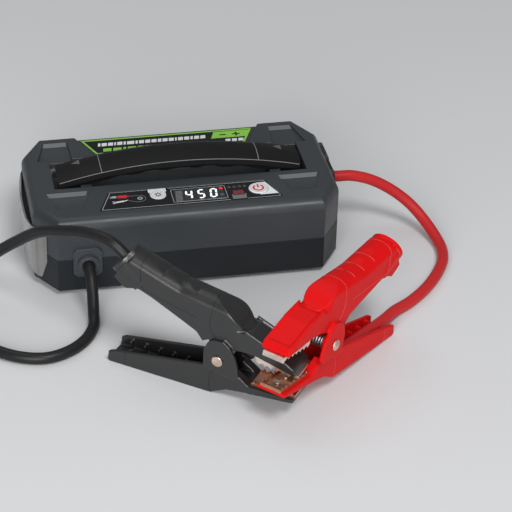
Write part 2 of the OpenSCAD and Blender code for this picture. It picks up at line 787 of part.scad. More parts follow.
// places on the black upper arm and on the red lower arm, in the frame of the whole part
function on_black(p) = black_pivot + headed(turned(p, black_open), black_heading);
function on_red(p) = red_pivot + headed(turned(p, red_pitch), red_heading);

module place_black() {
    translate(black_pivot) rotate([0, 0, black_heading]) children();
}
module place_red() {
    translate(red_pivot) rotate([0, 0, red_heading]) rotate([0, -red_pitch, 0]) children();
}
module opened(a) {
    rotate([0, -a, 0]) children();
}
module side_cut(points, half, y = 0) {
    translate([0, y, 0]) rotate([90, 0, 0]) translate([0, 0, -half]) linear_extrude(2 * half) polygon(points);
}
module along_y(r, half, y = 0) {
    translate([0, y, 0]) rotate([90, 0, 0]) cylinder(r = r, h = 2 * half, center = true);
}

cw = clamp_w / 2;
arm_wall = 3;
inner = cw - arm_wall;
ear_t = 3;
ear_r = 12;
ear_y = cw + gap + ear_t / 2;

// ---------- upper arm ----------

crown_x = -35;                         // where the two slopes of the back meet
crown_z = 57;
crown_slopes = [19.5, 9.9];
crown_h = 7.5;                         // rise of the rounded back above its sides
collar_at = [-92.5, 0, 62.5];
collar_tilt = 39;
collar_d = clamp_w + 2;
collar_l = 9;
black_short = 4.5;                     // each handle ends this much short of the full length
red_short = 9;
function set_in(points, by) = [for (p = points) p + by * [1, -0.35]];
function upper_side(by) = concat(
    set_in([[-97.5, 49], [-100, 52], [-84.5, 72.5], [-83, 82]], by),
    [[crown_x, 64], [-12, 54], [-8, 52.3], [-3, 50.6], [2, 48.4], [7, 45.5], [11.5, 42.2],
     [15.3, 38.6], [18.5, 35.2], [21.5, 32.9], [24, 32], [40, 25], [jaw_l, 8.5], [jaw_l + 1, 5.5],
     [jaw_l, 4], [31, 13], [19, 13], [14, 12], [6, 16], [-9, 16], [-15.6, 12.6], [-21, 20],
     [-36, 27.5], [-62, 40]],
    set_in([[-78, 46], [-90, 43]], by));
function upper_cavity(by) = concat(
    set_in([[-86, 20], [-86, 60]], by),
    [[-60, 57], [-30, 48.5], [0, 43.5], [8, 36], [14, 22], [14, 0], [-20, 0]]);
upper_ear = [
    [-13, -9.4], [-13, 6.5], [-10, 14], [-5, 19], [5, 20], [11, 15], [15.5, 6], [17.5, -2],
    [18.5, -10.6], [14, -14], [4, -13.5]];
jaw_tilt = atan(9 / (jaw_l - 31));
function jaw_under(x) = 13 - (x - 31) * 9 / (jaw_l - 31);          // underside of the upper jaw
jaw_rivet_x = [jaw_l - 22, jaw_l - 10];
jaw_rivet_d = 3;
plate_t = 1.5;
jaw_half = cw - 3.2;
teeth = 7;
tooth_h = 2;
black_lip = 1.8;                       // bent front face of each upper plate
red_lip = 4.6;

groove = 1.4;                          // depth of the finger grips
nose_x = 24 - cw;                      // the nose is round from here, seen from above
nose_z = 31;                           // and above this height

// bar with a rounded back whose ridge passes through the point where the slopes meet
module crown(slope) {
    translate([crown_x, 0, crown_z]) rotate([0, slope, 0]) translate([-90, 0, 0]) rotate([90, 0, 90])
        linear_extrude(170)
            polygon(concat([[-cw, -90], [cw, -90]],
                           [for (a = [0 : 7.5 : 180]) [cw * cos(a), crown_h * (sin(a) - 1)]]));
}
// height of the ridge of the back
function ridge(x) = crown_z + (crown_x - x) * tan(crown_slopes[x < crown_x ? 0 : 1]);
module along_collar(by) {
    translate(collar_at + by * [1, 0, -0.35]) rotate([0, collar_tilt - 90, 0]) children();
}
module at_upper_rivets() {
    for (x = jaw_rivet_x) translate([x, 0, jaw_under(x)]) rotate([0, jaw_tilt, 0]) children();
}

module upper_arm(by) {
    difference() {
        union() {
            intersection() {
                side_cut(upper_side(by), cw);
                union() {
                    for (slope = crown_slopes) crown(slope);
                    translate([25, -cw, -20]) cube([60, 2 * cw, 60]);
                }
                union() {
                    translate([-120, -cw, -20]) cube([120 + nose_x, 2 * cw, 140]);
                    translate([-120, -cw, -20]) cube([200, 2 * cw, 20 + nose_z]);
                    translate([nose_x, 0, -20]) cylinder(r = cw, h = 140, $fn = 64);
                }
            }
            along_collar(by) translate([0, 0, -collar_l / 2]) cylinder(d = collar_d, h = collar_l, $fn = 64);
            // a rail along each edge of the top of the jaw, joined at the tip
            for (y = [-cw + 1.3, cw - 1.3])
                side_cut([[20, 26], [22, 34.3], [40, 26.4], [jaw_l - 1, 10.3], [jaw_l, 8]], 1.3, y);
            side_cut([[jaw_l - 4.4, 9.5], [jaw_l - 4.4, 11.8], [jaw_l - 1, 10.3], [jaw_l, 8]], cw);
            // outer ears, joined to the arm above the swing of the lower arm
            for (y = [-ear_y, ear_y]) {
                side_cut(upper_ear, ear_t / 2, y);
                side_cut([[-9, 13.4], [-5, 19], [5, 20], [11, 13.4]], gap + 1, y - sign(y) * (ear_t / 2));
            }
        }
        side_cut(upper_cavity(by), inner);
        along_collar(by) cylinder(d = lead_d + 1, h = 40, center = true);
        along_y(rivet_d / 2 + run, 40);
        // finger grips across the back: a ramp that ends in a small wall
        for (x = (by - 95.5) * [0.58, 0.41, 0.25])
            side_cut([[x, ridge(x) + 4], [x, ridge(x) - groove], [x - 10, ridge(x - 10) + 0.2],
                [x - 10, ridge(x - 10) + 4]], 20);
        at_upper_rivets() translate([0, 0, -3]) cylinder(d = jaw_rivet_d + 2 * run, h = 8);
    }
}

// side flange of a jaw plate with its row of teeth
function toothed(x0, x1, z0, z1, tips, dir) =
    let (w = (x1 - x0) / teeth)
    concat([[x0, z0], [x0, tips[0]]],
           [for (i = [0:teeth - 1]) let (x = x0 + w * i, t = tips[0] + (tips[1] - tips[0]) * (i + 0.5) / teeth)
               each [[x + w * 0.15, t], [x + w * 0.5, t + dir * tooth_h], [x + w * 0.85, t]]],
           [[x1, tips[1]], [x1, z1]]);

module upper_jaw(lip) {
    x0 = 31;
    x1 = jaw_l + 2;
    za = jaw_under(x0);
    zb = jaw_under(x1);
    difference() {
        union() {
            side_cut([[x0, za - 0.1], [x1, zb - 0.1], [x1, zb - plate_t], [x0, za - plate_t]], jaw_half);
            for (y = [-1, 1])
                side_cut(toothed(x0, x1, za - skin, zb - skin, [za - 7, zb - 1.8], -1), plate_t / 2,
                    y * (jaw_half - plate_t / 2));
            translate([x1 - plate_t, -jaw_half, zb - lip]) cube([plate_t, 2 * jaw_half, lip - skin]);
        }
        at_upper_rivets() translate([0, 0, -4]) cylinder(d = jaw_rivet_d + 2 * run, h = 8);
    }
}
// blind rivets: the head holds the plate, the shank stays inside the plastic
module upper_jaw_rivets()
    at_upper_rivets() {
        translate([0, 0, -plate_t - 1.3]) cylinder(d = jaw_rivet_d + 2.5, h = 1.1);
        translate([0, 0, -plate_t - 1.3]) cylinder(d = jaw_rivet_d, h = plate_t + 6);
    }

// ---------- lower arm ----------

lower_seat = -19;                      // face under the lower jaw plate
channel_z = -pivot_h + 2.5;
lower_side = [
    [-tail_l, 2 - pivot_h], [-tail_l + 2, -pivot_h], [-8, -pivot_h], [6, -29], [19, -26.8], [jaw_l - 2, -22.6],
    [jaw_l, -21.5], [jaw_l - 0.5, lower_seat], [26, lower_seat], [19, -13.5], [10, -8], [-10, -8], [-17, -10.5],
    [-tail_l + 5, -24.5], [-tail_l + 1, -26.5]];
module lower_arm() {
    difference() {
        union() {
            side_cut(lower_side, cw);
            difference() {
                along_y(ear_r, cw);
                along_y(ear_r + 1, inner);
            }
        }
        // open channel in the handle, and a notch for the strap
        side_cut([[-tail_l - 5, channel_z], [-14, channel_z], [4, -25], [12, -20], [12, 20],
            [-tail_l - 5, 20]], inner);
        translate([10, -5, lower_seat + plate_t - gap + 0.1]) cube([20, 10, 20]);
        along_y(rivet_d / 2 + run, 40);
        for (x = jaw_rivet_x) translate([x, 0, lower_seat - 2.6]) cylinder(d = jaw_rivet_d + 2 * run, h = 10);
    }
    // ribs across the channel, notched round the lead
    for (x = [-92, -79, -66, -53, -40])
        difference() {
            translate([x, -inner - e, channel_z - e]) cube([2, 2 * inner + 2 * e, 8]);
            translate([x - 1, -lead_d / 2 - 0.6, channel_z]) cube([4, lead_d + 1.2, 30]);
        }
}
module lower_jaw() {
    x0 = 27;
    x1 = jaw_l;
    difference() {
        union() {
            translate([x0, -jaw_half, lower_seat + 0.1]) cube([x1 - x0, 2 * jaw_half, plate_t - 0.1]);
            for (y = [-1, 1])
                side_cut(toothed(x0, x1, lower_seat + skin, lower_seat + skin,
                    [lower_seat + 2.5, lower_seat + 2.5], 1),
                         plate_t / 2, y * (jaw_half - plate_t / 2));
            translate([x1 - plate_t, -jaw_half, lower_seat + skin]) cube([plate_t, 2 * jaw_half, 3]);
        }
        for (x = jaw_rivet_x) translate([x, 0, lower_seat - 2]) cylinder(d = jaw_rivet_d + 2 * run, h = 10);
    }
}
module lower_jaw_rivets()
    for (x = jaw_rivet_x) {
        translate([x, 0, lower_seat + plate_t + skin]) cylinder(d = jaw_rivet_d + 2.5, h = 1.1);
        translate([x, 0, lower_seat - 2.5]) cylinder(d = jaw_rivet_d, h = 2.5 + plate_t + 1);
    }

// ---------- pivot, spring and lug ----------

rivet_head_d = 9.5;
module pivot_rivet() {
    along_y(rivet_d / 2, cw + gap + ear_t + skin);
    for (y = [-1, 1]) along_y(rivet_head_d / 2, 0.6, y * (cw + gap + ear_t + 0.7));
}
spring_r = 7;
wire_d = 2;
leg_y = inner - 1.5 - wire_d / 2;
// coil round the rivet with a long leg along the fixed arm and a short one towards the moving arm
module spring(long_end, short_end) {
    difference() {
        along_y(spring_r, inner - 1.5);
        along_y(spring_r - wire_d, inner);
    }
    for (leg = [[long_end, leg_y], [short_end, -leg_y]]) {
        start = 0.9 * spring_r * unit(leg[0]);
        side = [-leg[0][1], leg[0][0]] / norm(leg[0]);
        side_cut([start + side, leg[0] + side, leg[0] - side, start - side], wire_d / 2, leg[1]);
    }
}
lug_d = lead_d - 2;
lug_l = 13;
// crimped tube on the end of the lead, then a flat strap to the jaw plate
module lug(at, slope, strap) {
    translate(at) rotate([0, 90 - slope, 0]) cylinder(d = lug_d, h = lug_l);
    side_cut(strap, 4);
}
black_lead_end = [-16, 0, 35];
black_lug_slope = -14;
red_lead_end = [-27, 0, channel_z + lead_d / 2 + skin];
black_strap = [
    [-4, 33], [4.5, 31], [12.9, 20.5], [12.9, 11.3], [31, 11.2], [38, 9.4], [38, 8.1], [31, 9.9], [11.6, 10],
    [11.6, 20], [3.8, 29.7], [-4, 31.4]];
strap_z = lower_seat + plate_t + skin;
red_strap = [
    [-15, -29], [4, -23.6], [12, strap_z], [38, strap_z], [38, strap_z + 1.3], [11.5, strap_z + 1.3],
        [3.6, -22.2], [-15, -27.5]];

module black_upper_arm() color(mid_black) place_black() opened(black_open) upper_arm(black_short);
module black_lower_arm() color(mid_black) place_black() lower_arm();
module black_upper_jaw() color(copper) place_black() opened(black_open) upper_jaw(black_lip);
module black_lower_jaw() color(copper) place_black() lower_jaw();
module black_upper_jaw_rivets() color(steel) place_black() opened(black_open) upper_jaw_rivets();
module black_lower_jaw_rivets() color(steel) place_black() lower_jaw_rivets();
module black_pivot_rivet() color(copper) place_black() pivot_rivet();
module black_spring() color(steel) place_black() opened(black_open) spring([-34.2, 48.4], [-14, -14.5]);
module black_lead_lug() color(copper)
    place_black() opened(black_open) lug(black_lead_end + [0.05, 0, 0], black_lug_slope, black_strap);

module red_upper_arm() color(red_plastic) place_red() opened(red_open) upper_arm(red_short);
module red_lower_arm() color(red_plastic) place_red() lower_arm();
module red_upper_jaw() color(copper) place_red() opened(red_open) upper_jaw(red_lip);
module red_lower_jaw() color(copper) place_red() lower_jaw();
module red_upper_jaw_rivets() color(steel) place_red() opened(red_open) upper_jaw_rivets();
module red_lower_jaw_rivets() color(steel) place_red() lower_jaw_rivets();
module red_pivot_rivet() color(steel) place_red() pivot_rivet();
module red_spring() color(steel) place_red() spring([-27.2, channel_z + 1.1], [-13, 15.5]);
module red_lead_lug() color(copper) place_red() lug(red_lead_end + [0.05, 0, 0], 0, red_strap);

// ---------- leads: points chosen along their way, then the way into the clamp ----------

black_start = black_gland + [0, wall + 4, 0];
black_route = [
    [-91.5, -80.5, 34], [-91.5, -92, 31], [-91.5, -104, 20], [-92.5, -116, 9.5], [-94.5, -130, 5.2],
    [-103, -147, 5], [-118, -161, 5], [-138, -168, 5], [-160, -163, 5], [-181, -148, 5],
    [-200, -124, 5], [-208, -97, 7], [-203, -73, 15], [-189, -62, 29], [-172, -66, 44],
    [-153, -81, 65], [-135, -100, 85], [-117, -122.8, 98.5], [-99.8, -142.6, 107.4], [-82.4, -160.2, 108.4]];
black_inside = [[-88, 0, 60.9], [-81.8, 0, 55.9], [-74, 0, 49.6], [-58, 0, 45], [-36, 0, 39.8], [-16, 0, 35]];
red_start = red_gland + [-wall - 4, 0, 0];
red_route = [
    [146, 0, 53], [160, 0, 52], [178, -1, 46], [196, -5, 36], [211, -13, 25],
    [222, -26, 14], [228, -43, 7], [229, -61, 5], [224, -81, 5], [212, -102, 5],
    [197, -121, 5], [180, -137, 5], [162, -151, 6.5]];
red_inside = [[-104, 0, red_lead_end[2]], [-78, 0, red_lead_end[2]], [-52, 0, red_lead_end[2]], red_lead_end];
lead_sides = 12;
function above_floor(v) = [for (p = v) [p[0], p[1], max(p[2], lead_d / 2 + 0.05)]];

module black_lead() color(soft_black)
    tube(above_floor(smooth_path(concat([black_start], black_route, [for (p = black_inside) on_black(p)]),
        2)), lead_d, lead_sides);
module red_lead() color(red_rubber)
    tube(above_floor(smooth_path(concat([red_start], red_route, [for (p = red_inside) on_red(p)]), 2)),
        lead_d, lead_sides);

upper_shell();
lower_shell();
rubber_feet();
case_screws();
handle_core();
handle_grip();
handle_end_left();
handle_end_right();
handle_screws();
deck_label();
control_panel();
display_window();
display_module();
light_button();
power_button();
boost_button();
status_leds();
button_switches();
control_board();
board_screws();
battery_cells();
battery_tray();
cell_pads();
bus_bars();
power_board();
relay();
cell_harness();
lamp_lens();
lamp_gasket();
lamp_reflector();
lamp_led_board();
port_block();
port_cover();
port_cover_pin();
black_lead_gland();
black_lead();
red_lead_gland();
red_lead();
black_upper_arm();
black_lower_arm();
black_upper_jaw();
black_lower_jaw();
black_upper_jaw_rivets();
black_lower_jaw_rivets();
black_pivot_rivet();
black_spring();
black_lead_lug();
red_upper_arm();
red_lower_arm();
red_upper_jaw();
red_lower_jaw();
red_upper_jaw_rivets();
red_lower_jaw_rivets();
red_pivot_rivet();
red_spring();
red_lead_lug();
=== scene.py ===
import json
import math
import bmesh
import bpy
from mathutils import Matrix, Vector
from mathutils.bvhtree import BVHTree

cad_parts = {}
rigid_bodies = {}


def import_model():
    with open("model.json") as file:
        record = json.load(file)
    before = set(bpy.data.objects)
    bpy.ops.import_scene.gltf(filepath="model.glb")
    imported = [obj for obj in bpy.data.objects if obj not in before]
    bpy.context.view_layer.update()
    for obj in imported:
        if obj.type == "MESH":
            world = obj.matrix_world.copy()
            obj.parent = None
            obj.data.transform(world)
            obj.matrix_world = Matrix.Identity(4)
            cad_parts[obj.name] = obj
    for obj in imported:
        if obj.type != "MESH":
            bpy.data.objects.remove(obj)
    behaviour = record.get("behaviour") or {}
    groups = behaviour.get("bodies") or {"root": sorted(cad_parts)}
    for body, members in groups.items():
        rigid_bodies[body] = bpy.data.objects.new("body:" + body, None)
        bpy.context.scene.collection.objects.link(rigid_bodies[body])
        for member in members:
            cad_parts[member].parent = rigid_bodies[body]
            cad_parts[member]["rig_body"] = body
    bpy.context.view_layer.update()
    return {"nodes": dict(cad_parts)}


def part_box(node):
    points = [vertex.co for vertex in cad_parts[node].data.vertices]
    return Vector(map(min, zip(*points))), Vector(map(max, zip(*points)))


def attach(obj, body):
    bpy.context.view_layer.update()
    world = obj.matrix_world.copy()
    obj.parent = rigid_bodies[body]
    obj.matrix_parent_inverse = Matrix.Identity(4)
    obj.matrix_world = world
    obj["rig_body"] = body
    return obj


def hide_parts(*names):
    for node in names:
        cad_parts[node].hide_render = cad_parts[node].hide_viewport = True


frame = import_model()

scene = bpy.context.scene
scene.view_settings.view_transform = "Standard"


# ---------- studio ----------
# A plain pale table top under soft lamps. The camera stands well back with a long lens
# and looks down on the pack from in front and a little to its left.

camera_data = bpy.data.cameras.new("studio_camera")
camera_data.lens = 145.2
camera_data.sensor_width = 36
camera_data.clip_start = 0.1
camera_data.clip_end = 30
camera = bpy.data.objects.new("studio_camera", camera_data)
scene.collection.objects.link(camera)
aim = Matrix(((0.98049565, 0.08832187, -0.17557771),
              (-0.19519036, 0.54213246, -0.81730846),
              (0.02300016, 0.83563846, 0.54879809))).to_4x4()
aim.translation = (-0.26063, -1.54751, 1.01357)
camera.matrix_world = aim
bpy.context.scene.camera = camera

table_mesh = bpy.data.meshes.new("table_top")
table_mesh.from_pydata([(-6, -6, 0), (6, -6, 0), (6, 6, 0), (-6, 6, 0)], [], [(0, 1, 2, 3)])
table = bpy.data.objects.new("table_top", table_mesh)
scene.collection.objects.link(table)
table_paint = bpy.data.materials.new("table_paint")
table_paint.use_nodes = True
table_shader = table_paint.node_tree.nodes["Principled BSDF"]
table_shader.inputs["Base Color"].default_value = (0.66, 0.67, 0.68, 1)
table_shader.inputs["Roughness"].default_value = 0.75
table_shader.inputs["Specular IOR Level"].default_value = 0.2
table_mesh.materials.append(table_paint)


def soft_lamp(name, place, size, power):
    """A round soft lamp, pointed at the middle of the table."""
    lamp = bpy.data.lights.new(name, "AREA")
    lamp.shape = "DISK"
    lamp.size = size
    lamp.energy = power
    held = bpy.data.objects.new(name, lamp)
    held.location = place
    held.rotation_euler = (Vector((0, -0.1, 0.04)) - Vector(place)).to_track_quat("-Z", "Y").to_euler()
    scene.collection.objects.link(held)


soft_lamp("key_lamp", (0.42, -1.60, 2.45), 1.0, 37)
soft_lamp("front_lamp", (-0.9, -2.5, 1.0), 1.6, 54)
soft_lamp("top_lamp", (-0.3, 1.0, 2.4), 1.8, 9)
surroundings = bpy.data.worlds.new("surroundings")
surroundings.use_nodes = True
surroundings.node_tree.nodes["Background"].inputs["Color"].default_value = (0.80, 0.82, 0.85, 1)
surroundings.node_tree.nodes["Background"].inputs["Strength"].default_value = 0.27
scene.world = surroundings


# ---------- finishes that several pieces share ----------
# Injection moulded plastic and rubber: a fine sparked texture from the mould, edges painted lighter
# for handling wear and as a painted highlight, and a little dust. Each is one group with named inputs.

def add(tree, kind, *feeds, **settings):
    """One node: feeds are pairs of an input and a value or the socket that drives it."""
    made = tree.nodes.new("ShaderNode" + kind)
    for setting, value in settings.items():
        setattr(made, setting, value)
    for place, source in feeds:
        if isinstance(source, bpy.types.NodeSocket):
            tree.links.new(source, made.inputs[place])
        else:
            made.inputs[place].default_value = source
    return made


def finish_group(name, takes, gives):
    """An empty group with its inputs and outputs made."""
    tree = bpy.data.node_groups.new(name, "ShaderNodeTree")
    for label, value in takes.items():
        tree.interface.new_socket(label, in_out="INPUT", socket_type="NodeSocketFloat").default_value = value
    for label in gives:
        tree.interface.new_socket(label, in_out="OUTPUT", socket_type="NodeSocketFloat")
    return tree, tree.nodes.new("NodeGroupInput").outputs, tree.nodes.new("NodeGroupOutput").inputs


def mix_colour(tree, amount, first, second):
    return add(tree, "Mix", (0, amount), (6, first), (7, second), data_type="RGBA").outputs[2]


def spread(tree, value, low, high, to_low=0.0, to_high=1.0):
    return add(tree, "MapRange", ("Value", value), ("From Min", low), ("From Max", high),
               ("To Min", to_low), ("To Max", to_high)).outputs["Result"]


def arithmetic(tree, operation, first, second):
    return add(tree, "Math", (0, first), (1, second), operation=operation).outputs[0]


def on_piece(tree):
    """Places on the piece itself, so that a pattern stays where it is when the piece moves."""
    return add(tree, "TexCoord").outputs["Object"]


def mottle(tree, place, scale, detail, rough=0.5):
    """Soft uneven patches, as a value about a half."""
    return add(tree, "TexNoise", ("Vector", place), ("Scale", scale), ("Detail", detail),
               ("Roughness", rough)).outputs["Fac"]


# the skin that a spark-eroded mould leaves
skin_group, skin_in, skin_out = finish_group(
    "mould_skin", {"Grain": 1800.0, "Blotch": 45.0}, ("Height", "Tone", "Gloss"))
own_place = on_piece(skin_group)
fine = mottle(skin_group, own_place, skin_in["Grain"], 3.0, 0.6)
pits = add(skin_group, "TexVoronoi", ("Vector", own_place), ("Scale", skin_in["Grain"]), feature="SMOOTH_F1")
wide = mottle(skin_group, own_place, skin_in["Blotch"], 4.0, 0.55)
shallow = arithmetic(skin_group, "MULTIPLY", pits.outputs["Distance"], 0.6)
skin_group.links.new(arithmetic(skin_group, "ADD", fine, shallow), skin_out["Height"])
skin_group.links.new(spread(skin_group, fine, 0.25, 0.75), skin_out["Tone"])
skin_group.links.new(spread(skin_group, wide, 0.3, 0.7), skin_out["Gloss"])

# edges that hands and cloths have rubbed, painted lighter for that wear and as a painted highlight where they
# catch the light
edge_wear_highlight_group, edge_wear_highlight_in, edge_wear_highlight_out = finish_group("edges_worn_and_highlit", {"Width": 0.0009, "Patchy": 160.0}, ("Mask",))
round_edge = add(edge_wear_highlight_group, "Bevel", ("Radius", edge_wear_highlight_in["Width"]), samples=4)
true_normal = add(edge_wear_highlight_group, "NewGeometry").outputs["Normal"]
facing = add(edge_wear_highlight_group, "VectorMath", (0, round_edge.outputs[0]), (1, true_normal), operation="DOT_PRODUCT")
edge_mask = spread(edge_wear_highlight_group, facing.outputs["Value"], 0.995, 0.86)
patches = mottle(edge_wear_highlight_group, on_piece(edge_wear_highlight_group), edge_wear_highlight_in["Patchy"], 2.0)
uneven = spread(edge_wear_highlight_group, patches, 0.2, 0.6, 0.45, 1.0)
edge_wear_highlight_group.links.new(arithmetic(edge_wear_highlight_group, "MULTIPLY", edge_mask, uneven), edge_wear_highlight_out["Mask"])

# fine dust that settles in the open
dust_group, dust_in, dust_out = finish_group("settled_dust", {"Amount": 0.1}, ("Mask",))
own_place = on_piece(dust_group)
specks = spread(dust_group, mottle(dust_group, own_place, 900.0, 2.0), 0.62, 0.75)
haze = spread(dust_group, mottle(dust_group, own_place, 22.0, 5.0), 0.52, 0.80, 0.0, 0.5)
loose = arithmetic(dust_group, "ADD", specks, haze)
dust_group.links.new(arithmetic(dust_group, "MULTIPLY", loose, dust_in["Amount"]), dust_out["Mask"])


def use_group(tree, group, **values):
    made = tree.nodes.new("ShaderNodeGroup")
    made.node_tree = group
    for label, value in values.items():
        made.inputs[label].default_value = value
    return made.outputs


def blank(name):
    """A new finish with its tree and shader."""
    finish = bpy.data.materials.new(name)
    finish.use_nodes = True
    return finish, finish.node_tree, finish.node_tree.nodes["Principled BSDF"]


def moulded_finish(name, colour, rough, grain=1800.0, depth=0.00004, wear_and_highlight=0.12, dust=0.06,
                   tone=0.12, edge=0.0009, specular=0.28):
    """Plastic or rubber straight from the mould, in one colour, with its edges painted lighter for wear and
    as a painted highlight.
    """
    finish, tree, shader = blank(name)
    skin = use_group(tree, skin_group, Grain=grain)
    worn_and_highlit = use_group(tree, edge_wear_highlight_group, Width=edge)
    dusty = use_group(tree, dust_group, Amount=dust)
    # light: the lighter edge colour, for wear and as a painted highlight
    light = tuple(min(1.0, c * 1.7 + 0.04) for c in colour) + (1,)
    dark = tuple(c * (1 - tone) for c in colour) + (1,)
    pale = tuple(min(1.0, c * (1 + tone)) for c in colour) + (1,)
    body = mix_colour(tree, skin["Tone"], dark, pale)
    # edges painted lighter, for wear and as a painted highlight where they catch the light
    body = mix_colour(tree, arithmetic(tree, "MULTIPLY", worn_and_highlit["Mask"], wear_and_highlight), body, light)
    body = mix_colour(tree, dusty["Mask"], body, (0.22, 0.215, 0.20, 1))
    tree.links.new(body, shader.inputs["Base Color"])
    shine = spread(tree, skin["Gloss"], 0.0, 1.0, rough - 0.05, rough + 0.05)
    dulled = arithmetic(tree, "MULTIPLY", dusty["Mask"], 0.3)
    tree.links.new(arithmetic(tree, "ADD", shine, dulled), shader.inputs["Roughness"])
    bump = add(tree, "Bump", ("Height", skin["Height"]), ("Strength", 0.6), ("Distance", depth))
    tree.links.new(bump.outputs["Normal"], shader.inputs["Normal"])
    shader.inputs["Specular IOR Level"].default_value = specular
    return finish


# ---------- leads ----------
# Two heavy copper leads in soft silicone jackets, the black one 0.56 m long and the red one 0.36 m.
# Each runs from its gland down to the table and on into the fixed arm of its clamp.

def mm(*points):
    return [Vector(p) / 1000 for p in points]


def smooth_line(points, per):
    """The smooth curve through the points, with per steps between two of them."""
    line = []
    last = len(points) - 1
    for i in range(last):
        a, b, c, d = (points[max(0, min(last, i + k))] for k in (-1, 0, 1, 2))
        for k in range(per):
            u = k / per
            line.append(0.5 * (2 * b + (c - a) * u + (2 * a - 5 * b + 4 * c - d) * u * u
                               + (3 * b - a - 3 * c + d) * u * u * u))
    return line + [points[-1]]


def clamp_place(pivot, heading, pitch=0.0, opened=0.0):
    """From a clamp's own frame, with its pivot at the origin and its jaws along +X, to the whole part's."""
    return (Matrix.Translation(Vector(pivot) / 1000) @ Matrix.Rotation(math.radians(heading), 4, "Z")
            @ Matrix.Rotation(-math.radians(pitch + opened), 4, "Y"))


black_fixed = clamp_place((1.4, -224, 36), -37)
black_moving = black_fixed
red_fixed = clamp_place((75, -234, 47.2), 223.5, 6.4)
red_moving = clamp_place((75, -234, 47.2), 223.5, 6.4, 9)

lead_d = 0.010
black_route = mm(
    (-91.5, -65.5, 34), (-91.5, -80.5, 34), (-91.5, -92, 31), (-91.5, -104, 20), (-92.5, -116, 9.5),
    (-94.5, -130, 5.2), (-103, -147, 5), (-118, -161, 5), (-138, -168, 5), (-160, -163, 5), (-181, -148, 5),
    (-200, -124, 5), (-208, -97, 7), (-203, -73, 15), (-189, -62, 29), (-172, -66, 44),
    (-153, -81, 65), (-135, -100, 85), (-117, -122.8, 98.5), (-99.8, -142.6, 107.4), (-82.4, -160.2, 108.4))
black_route += [black_fixed @ p for p in mm(
    (-88, 0, 60.9), (-81.8, 0, 55.9), (-74, 0, 49.6), (-58, 0, 45), (-36, 0, 39.8), (-16, 0, 35))]
red_route = mm(
    (128, 0, 53), (146, 0, 53), (160, 0, 52), (178, -1, 46), (196, -5, 36), (211, -13, 25),
    (222, -26, 14), (228, -43, 7), (229, -61, 5), (224, -81, 5), (212, -102, 5),
    (197, -121, 5), (180, -137, 5), (162, -151, 6.5))
red_route += [red_fixed @ p for p in mm((-104, 0, -28.3), (-78, 0, -28.3), (-52, 0, -28.3), (-27, 0, -28.3))]
silicone_black = moulded_finish("silicone_black", (0.012, 0.012, 0.0125), 0.40, grain=900,
                                depth=0.00003, wear_and_highlight=0.0, dust=0.03)
silicone_red = moulded_finish("silicone_red", (0.50, 0.022, 0.024), 0.38, grain=900,
                              depth=0.00003, wear_and_highlight=0.0, dust=0.01, specular=0.15)


def lay_lead(name, route, finish, node):
    """A jacket laid along its route, resting on the table where it would sink in."""
    line = smooth_line(route, 8)
    jacket = bpy.data.curves.new(name, "CURVE")
    jacket.dimensions = "3D"
    jacket.bevel_depth = lead_d / 2
    jacket.bevel_resolution = 8
    jacket.use_fill_caps = True
    run = jacket.splines.new("POLY")
    run.points.add(len(line) - 1)
    for spot, p in zip(run.points, line):
        spot.co = (p.x, p.y, max(p.z, lead_d / 2 + 0.00005), 1)
    jacket.materials.append(finish)
    lead = bpy.data.objects.new(name, jacket)
    scene.collection.objects.link(lead)
    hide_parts(node)
    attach(lead, "pack")


lay_lead("black_lead_jacket", black_route, silicone_black, "black_lead")
lay_lead("red_lead_jacket", red_route, silicone_red, "red_lead")


# ---------- case ----------
# Two deep shells of glass-filled nylon, the upper graphite grey and the lower nearly black, closed from
# below with four long screws. The top edge is rolled over wide at the front and both ends.

def give(piece, finish):
    """The one finish of a piece."""
    piece.data.materials.clear()
    piece.data.materials.append(finish)


def mesh_of(shape, name):
    mesh = bpy.data.meshes.new(name)
    shape.to_mesh(mesh)
    shape.free()
    return mesh


def set_down(name, mesh, finish, body="pack", node=None):
    """A new piece of this mesh that rides on the body, in place of the node if one is named."""
    piece = bpy.data.objects.new(name, mesh)
    scene.collection.objects.link(piece)
    give(piece, finish)
    if node:
        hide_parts(node)
    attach(piece, body)
    return piece


def soften(piece, edge, steps=3):
    """Rounds every edge sharper than 30 degrees and shades the rest smoothly."""
    sharp = math.radians(30)
    for face in piece.data.polygons:
        face.use_smooth = True
    piece.data.set_sharp_from_angle(angle=sharp)
    bevel = piece.modifiers.new("rounded_edges", "BEVEL")
    bevel.width = edge
    bevel.segments = steps
    bevel.limit_method = "ANGLE"
    bevel.angle_limit = sharp
    bevel.use_clamp_overlap = True
    even = piece.modifiers.new("even_shading", "WEIGHTED_NORMAL")
    even.keep_sharp = True
    even.weight = 60


def joined_up(node):
    """The node's shape, with the corners that lie in one place made one."""
    shape = bmesh.new()
    shape.from_mesh(frame["nodes"][node].data)
    bmesh.ops.remove_doubles(shape, verts=shape.verts, dist=0.00001)
    return shape


def moulding(node, name, finish, edge, steps=3, reshape=None):
    """The node's own shape with its edges rounded as the mould rounds them."""
    shape = joined_up(node)
    bmesh.ops.dissolve_limit(shape, angle_limit=math.radians(1.0), verts=shape.verts, edges=shape.edges)
    if reshape:
        reshape(shape)
    piece = set_down(name, mesh_of(shape, name), finish, frame["nodes"][node]["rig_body"], node)
    soften(piece, edge, steps)
    return piece


case_low, case_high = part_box("upper_shell")
half_l, half_d, case_top = -case_low[0], case_high[1], case_high[2]
corner_x, corner_y = 0.018, 0.027               # how far each corner of the case is cut off
cad_brow, brow = 0.0050, 0.0085                 # radius of the top edge, as built and as shown
end_wall = math.hypot(corner_x, corner_y)
side_planes = [((0, -1), half_d), ((0, 1), half_d), ((-1, 0), half_l), ((1, 0), half_l)]
for sx in (-1, 1):
    for sy in (-1, 1):
        out = (sx * corner_y / end_wall, sy * corner_x / end_wall)
        side_planes.append((out, abs(out[0]) * half_l + abs(out[1]) * (half_d - corner_y)))


